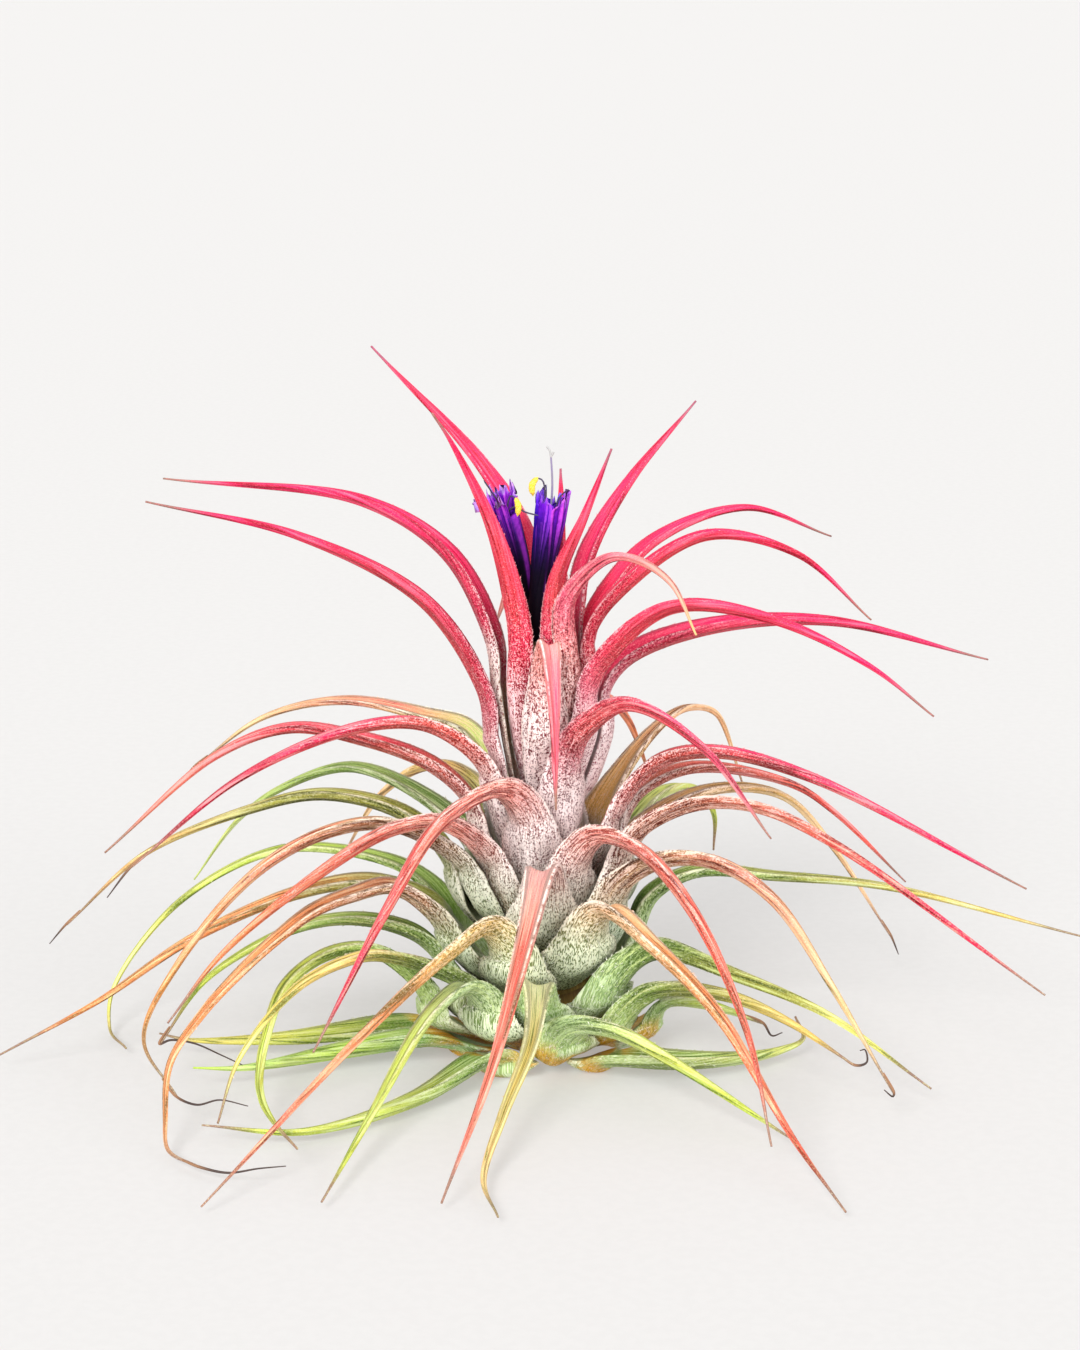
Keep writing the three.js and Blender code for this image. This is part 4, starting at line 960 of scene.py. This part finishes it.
# A flower: the azimuth of the bright strip up its tube, how pale the rims of its lobes are and how warm
# their violet is, the axis, the radii, the lobes, each filament with its pollen sac, and the pistil.
LEFT_BLOOM = {
    "name": "flower_left",
    "strip": -40,
    "rim": 0.5,
    "warmth": 0.9,
    "axis": [(-1.6, 1.7, 60.5), (-2.3, 1.3, 65), (-3.4, 0.4, 72), (-5.2, -1, 78.6)],
    "base_radius": 1.15,
    "mouth_radius": 1.7,
    # lobes: azimuth round the mouth, height, flare, width
    "lobes": [(18, 4.2, 0.5, 1.8), (73, 3.4, 0.8, 1.5), (125, 3.9, 0.7, 1.9), (177, 3.2, 2.2, 1.5),
              (258, 4, 0.6, 1.4)],
    "threads": [
        ([(-6.6, -2.3, 81.2), (-8.3, -3.2, 84)], None),
        ([(-4, -2.4, 80), (-2.4, -3.6, 79.5), (-0.6, -4.4, 79.2)], None),
        ([(-4.5, -2.4, 81.6), (-3.6, -3.2, 81.2)],
         [(-3.9, -3.1, 81.5), (-3.4, -3.35, 80.3), (-3.6, -3.6, 78.9)]),
    ],
}
RIGHT_BLOOM = {
    "name": "flower_right",
    "strip": -50,
    "rim": 0.15,
    "warmth": 0,
    "axis": [(-1.1, -1, 60.5), (-0.7, -0.9, 65), (0, -0.6, 71), (0.9, -0.4, 77.6)],
    "base_radius": 1.4,
    "mouth_radius": 2,
    "lobes": [(10, 4.4, 0.2, 2.2), (70, 3.6, 0.1, 1.7), (125, 4.6, 0.1, 2.1), (185, 3.9, 0.2, 1.8),
              (240, 4.3, 0.1, 2.1), (305, 3.7, 0.3, 1.8)],
    "threads": [
        ([(0.3, -0.6, 81.5), (-0.1, -0.8, 83.5), (-0.9, -1.1, 83.9)],
         [(-0.7, -1, 84), (-1.5, -1.3, 82.9), (-1.4, -1.4, 81.3)]),
        ([(2.3, -0.9, 81), (3.6, -1.4, 82.4)], None),
    ],
    "style": [(1, 0.02, 78.4), (1.3, 0.1, 82.5), (1.1, 0, 87)],
    "stigma": [[(1.1, 0, 86.6), (0.9, 0.1, 87.6), (0.5, 0.1, 88.2)], [(1.1, 0, 86.6), (1.5, -0.1, 87.4)]],
}


def path_length(path):
    spots, _ = path.at(np.linspace(0, path.count - 1, 200))
    return np.linalg.norm(np.diff(spots, axis=0), axis=1).sum()


def even_places(path, shares):
    """Places u on a path at the given shares of its length."""
    u = np.linspace(0, path.count - 1, 400)
    spots, _ = path.at(u)
    lengths = np.concatenate([[0], np.cumsum(np.linalg.norm(np.diff(spots, axis=0), axis=1))])
    return np.interp(np.asarray(shares) * lengths[-1], lengths, u)


def spun(path, shares, radii, sides):
    """A round body along a path, as rings of points at shares of its length."""
    radii = np.asarray(radii)
    radii = radii[:, None] if radii.ndim == 1 else radii
    return round_body(path, even_places(path, shares), radii, sides, (0, -1, 0))


def flower_piece(name, parts, skin):
    """Several small bodies, each its points, faces and tones, as one shown piece."""
    points, faces, tones = [], [], []
    start = 0
    for some_points, some_faces, some_tones in parts:
        points.append(some_points.reshape(-1, 3))
        faces.extend(tuple(i + start for i in f) for f in some_faces)
        tones.append(some_tones.reshape(-1, 3))
        start += len(points[-1])
    mesh_piece(name, np.vstack(points), faces, [skin], [name], {"tone": np.vstack(tones)})


def petal_tone(height_share, streak):
    """Near-black violet at the foot of a petal, bright purple at its torn end, paler in the streaks."""
    stops = [(0, 8, 3, 12), (0.25, 12, 4, 24), (0.42, 30, 6, 70), (0.62, 74, 12, 150), (0.85, 124, 30, 200),
             (1, 170, 84, 230)]
    tone = on_screen(stops, height_share)
    pale = streak * smooth(0.22, 0.75, height_share)
    return linear(painted(tone, (210, 110, 236), 0.85 * pale))


def tube_radius(bloom, up):
    base, mouth = bloom["base_radius"], bloom["mouth_radius"]
    return np.interp(up, [0, 0.3, 0.65, 1], [base, base * 1.06, (base + mouth) / 2, mouth])


def flower_tube(bloom, rng):
    path = Path(bloom["axis"])
    length = path_length(path)
    deep = 1 - CUP_DEPTH / length
    sides = 40
    up = np.concatenate([[0], np.linspace(0, 1, 40), [1], np.linspace(1, deep, 10)[1:], [deep]])
    inside = np.concatenate([np.zeros(41), np.ones(11)])
    radius = np.where(inside > 0, bloom["mouth_radius"] - TUBE_WALL, tube_radius(bloom, up))
    radius[0] = 0.01
    radius[-1] = 0.01
    a = np.linspace(0, 2 * math.pi, sides, endpoint=False)
    folds = 0.09 * np.cos(3 * a + 1)[None, :] * (up * (1 - inside))[:, None]
    rings = spun(path, up, radius[:, None] + folds * (radius > 0.1)[:, None], sides)
    share = np.repeat((0.6 * up ** FLUSH)[:, None], sides, axis=1)
    streak = np.repeat(rng.random(sides)[None, :] ** 3, len(up), axis=0)
    tones = petal_tone(share, 0.5 * streak)
    # the edge of one petal shows as a bright strip up the side of the tube
    off_axis = rings - rings.mean(axis=1, keepdims=True)
    turn = np.degrees(np.arctan2(off_axis[..., 1], off_axis[..., 0]))
    strip = smooth(24, 8, abs((turn - bloom["strip"] + 540) % 360 - 180)) * smooth(0.3, 0.5, up)[:, None]
    tones = painted(tones, linear((176, 58, 214)), strip * (0.55 + 0.45 * streak))
    return rings, loft_faces(len(up), sides), tones


def petal_lobe(bloom, lobe, rng):
    """One thin torn lobe that comes up the outside of the tube and stands over its mouth."""
    azimuth, height, flare, width = lobe
    path = Path(bloom["axis"])
    wall = bloom["mouth_radius"]
    length = path_length(path)
    rows, columns = 44, 25
    v = np.linspace(LOBE_FOOT, 1, rows)[:, None]
    s = np.linspace(-1, 1, columns)[None, :]
    torn = np.interp(s, np.linspace(-1, 1, 13), [-0.4, *rng.uniform(-0.5, 0.12, 11), -0.4])
    rise = v * height * (1 + torn * np.clip(v, 0, 1) ** 2)
    spread = np.interp(v, [LOBE_FOOT, -1, 0, 0.5, 0.8, 1], [0.3, 0.75, 1.1, 1.1, 0.85, 0.6])
    angle = math.radians(azimuth) + s * spread * width * 0.62 / wall
    ribs = 0.14 * np.sin(s * 11 + rng.uniform(0, 6) + v) + 0.15 * np.sin(s * 4 + rng.uniform(0, 6))
    # below the mouth the petal lies on the tube, whose radius and axis it follows
    below = np.clip(1 + v * height / length, 0, 1)
    tube = tube_radius(bloom, below)
    ribs = ribs * np.interp(v, [LOBE_FOOT, -1, 0.3], [0, 0.5, 1])
    reach = tube - 0.02 + flare * np.clip(v, 0, 1) ** 2 + ribs
    spots, tangents = path.at(even_places(path, below[:, 0]))
    start = unit(np.cross([0, 1, 0], path.at(0)[1][0]))
    sides_at = carried(np.vstack([path.at(0)[1], tangents]), start)[1:]
    aheads = np.cross(tangents, sides_at)
    over = np.maximum(rise, 0)[..., None] * tangents[:, None]

    def face(offset):
        out = np.cos(angle)[..., None] * sides_at[:, None] + np.sin(angle)[..., None] * aheads[:, None]
        return spots[:, None] + over + out * (reach + offset)[..., None]

    thick = 0.12 * np.interp(v, [LOBE_FOOT, -1.5, 0, 1], [0.2, 0.9, 1, 0.6]) * (1 - 0.6 * s ** 4)
    outer, inner = face(thick), face(-thick)
    rings = np.concatenate([outer, inner[:, ::-1]], axis=1)
    streak = smooth(0.45, 0.8, np.interp(s, np.linspace(-1, 1, 19), rng.random(19))) + 0 * v
    tone = petal_tone(0.6 * below ** FLUSH + 0.1 * np.maximum(rise, 0), streak)
    warm = max(bloom["warmth"], smooth(-0.2, 0.9, math.cos(math.radians(azimuth - bloom["strip"]))))
    tone = tone * mix(linear((176, 190, 255)), linear((255, 190, 240)), warm)
    tone = painted(tone, linear((226, 196, 244)), smooth(0.7, 1, v + 0 * s) * bloom["rim"])
    tones = np.concatenate([tone, tone[:, ::-1]], axis=1)
    return rings, [tuple(reversed(f)) for f in loft_faces(rows, 2 * columns)], tones


def thread(points, end_radii, tone):
    """A round thread through points, closed at both ends, from its radius at the foot to that at the end."""
    shares = np.linspace(0, 1, 28)
    radii = mix(*end_radii, shares)
    radii[0] = radii[-1] = 0.02
    rings = spun(Path(points), shares, radii, 10)
    tones = np.broadcast_to(linear(tone), rings.shape)
    return rings, loft_faces(len(shares), 10), tones


def pollen_sac(points):
    """A yellow anther with a groove along it and a crumbly skin."""
    shares = np.linspace(0, 1, 22)
    body = np.interp(shares, [0, 0.12, 0.45, 0.8, 1], [0.02, 0.36, 0.52, 0.42, 0.02])
    a = np.linspace(0, 2 * math.pi, 16, endpoint=False)
    groove = 1 - 0.28 * np.exp(-((a[None, :] - math.pi) / 0.4) ** 2)
    crumbs = np.random.default_rng(5).uniform(0.86, 1.12, (len(shares), len(a)))
    radii = body[:, None] * groove * crumbs
    rings = spun(Path(points), shares, radii, 16)
    crumb = np.where(np.sin(9 * a)[None, :] * np.sin(40 * shares)[:, None] > 0.3, 1.0, 0.0)
    tones = painted(linear((246, 200, 40)), linear((244, 234, 110)), crumb)
    return rings, loft_faces(len(shares), 16), tones


# Skins of the flowers: how fine and how detailed the grain is, where its patches begin and are full
# and how strong they are, the shade of the patches and how it is laid on, roughness, shine, relief
FLOWER_SKINS = {
    "violet_petal": (1400.0, 2.0, 0.4, 0.7, 0.4, rgba(110, 60, 170), "MULTIPLY", 0.6, 0.08, 0.0001),
    "stamen": (3500.0, 1.0, 0.45, 0.6, 0.3, rgba(150, 90, 20), "MULTIPLY", 0.8, 0.5, 0.00008),
    "pistil": (900.0, 1.0, 0.4, 0.6, 0.2, rgba(150, 150, 130), "MIX", 0.4, 0.5, 0.00005),
}


def flower_skin(name):
    size, detail, low, high, strength, shade, blend, roughness, shine, relief = FLOWER_SKINS[name]
    f = Finish(name)
    grain = f.noise(f.node("ShaderNodeTexCoord", output=3), scale=size, detail=detail)
    colour = f.mixed(f.between(grain, low, high) * strength, f.attribute("tone", 0), shade, blend)
    return f.finish({"Base Color": colour, "Roughness": roughness, "Specular IOR Level": shine},
                    height=grain, depth=relief)


def down_the_cup(bloom, depth):
    """The point on the axis of a tube at a depth below its mouth."""
    path = Path(bloom["axis"])
    return path.at(even_places(path, [1 - depth / path_length(path)]))[0][0]


def make_petals(bloom, rng, skin):
    parts = [flower_tube(bloom, rng)] + [petal_lobe(bloom, lobe, rng) for lobe in bloom["lobes"]]
    flower_piece(bloom["name"] + "_petals", parts, skin)


def make_stamens(bloom, skin):
    """A disc in the cup of the tube with the filaments round it, some with their pollen sacs."""
    mouth = np.array(bloom["axis"][-1], float)
    bottom = down_the_cup(bloom, CUP_DEPTH - GAP)
    to_disc_top = (mouth - bottom) * ROOT_DISC / (CUP_DEPTH - GAP)
    disc_radius = bloom["mouth_radius"] - TUBE_WALL - 0.1 - GAP
    disc_path = Path([bottom, bottom + 0.5 * to_disc_top, bottom + to_disc_top])
    disc = spun(disc_path, [0, 0.05, 0.95, 1], [0.02, disc_radius, disc_radius, 0.02], 16)
    parts = [(disc, loft_faces(4, 16), np.broadcast_to(linear((70, 50, 90)), disc.shape))]
    for bends, sac in bloom["threads"]:
        outward = np.array(bends[0], float) - mouth
        outward[2] = 0
        outward = unit(outward) * (disc_radius - FILAMENT_SEAT)
        start = bottom + 0.4 * to_disc_top
        parts.append(thread([start + outward, mouth + outward, *bends], FILAMENT_RADII, (70, 60, 88)))
        if sac:
            parts.append(pollen_sac(sac))
    flower_piece(bloom["name"] + "_stamens", parts, skin)


def make_pistil(bloom, skin):
    """The style, rooted just above the disc of the stamens, with its forked stigma."""
    root = down_the_cup(bloom, CUP_DEPTH - 2 * GAP - ROOT_DISC) + (0, PISTIL_OFFSET, 0)
    parts = [thread([root, *bloom["style"]], STYLE_RADII, (134, 124, 158))]
    parts += [thread(fork, STIGMA_RADII, (176, 176, 176)) for fork in bloom["stigma"]]
    flower_piece(bloom["name"] + "_pistil", parts, skin)


def grow_flowers():
    """Both flowers; only the right one shows its pistil."""
    petal, stamen, pistil = (flower_skin(name) for name in FLOWER_SKINS)
    for bloom, seed in ((LEFT_BLOOM, 11), (RIGHT_BLOOM, 12)):
        make_petals(bloom, np.random.default_rng(seed), petal)
        make_stamens(bloom, stamen)
    make_pistil(RIGHT_BLOOM, pistil)


# The plant

make_stem()
grow_leaves()
grow_flowers()


# Floor, light and camera

def make_floor():
    f = Finish("pale_floor")
    coords = f.node("ShaderNodeTexCoord", output=3)
    grit = f.noise(coords, scale=600.0, detail=1.0)
    colour = f.mixed(f.between(grit, 0.35, 0.65), rgba(168, 167, 166), rgba(166, 165, 164))
    material = f.finish({"Base Color": colour, "Roughness": 0.9, "Specular IOR Level": 0.1,
                         "Emission Color": rgba(255, 253, 251), "Emission Strength": 0.33})
    bpy.ops.mesh.primitive_plane_add(size=40, location=(0, 0, 0))
    floor = bpy.context.active_object
    floor.name = "floor"
    floor.data.materials.append(material)


def face_along(holder, direction):
    holder.rotation_euler = Vector(direction).to_track_quat("-Z", "Y").to_euler()


def soft_sun(name, direction, spread, power):
    light = bpy.data.lights.new(name, "SUN")
    light.angle = math.radians(spread)
    light.energy = power
    face_along(put_in_scene(name, light), direction)


def make_light():
    world = bpy.data.worlds.new("studio")
    world.use_nodes = True
    sky = world.node_tree.nodes["Background"]
    sky.inputs["Color"].default_value = (1, 1, 1, 1)
    sky.inputs["Strength"].default_value = 0.8
    bpy.context.scene.world = world
    soft_sun("key", (0.35, 0.8, -0.62), 25, 2.9)
    soft_sun("fill", (-0.8, 0.5, -0.35), 45, 1.2)
    soft_sun("front", (-0.1, 1, -0.12), 60, 0.7)
    bpy.context.scene.view_settings.view_transform = "Standard"


CAMERA_DISTANCE = 450
CAMERA_ELEVATION = 15
CAMERA_TARGET = (-0.43, 0, 55)


def make_camera():
    e = math.radians(CAMERA_ELEVATION)
    camera = bpy.data.cameras.new("camera")
    camera.sensor_fit = "VERTICAL"
    camera.sensor_height = 36
    camera.lens = 84
    camera.clip_start = 0.01
    holder = put_in_scene("camera", camera)
    back = Vector((0, -math.cos(e), math.sin(e))) * CAMERA_DISTANCE * MM
    holder.location = Vector(CAMERA_TARGET) * MM + back
    face_along(holder, -back)
    bpy.context.scene.camera = holder


make_floor()
make_light()
make_camera()
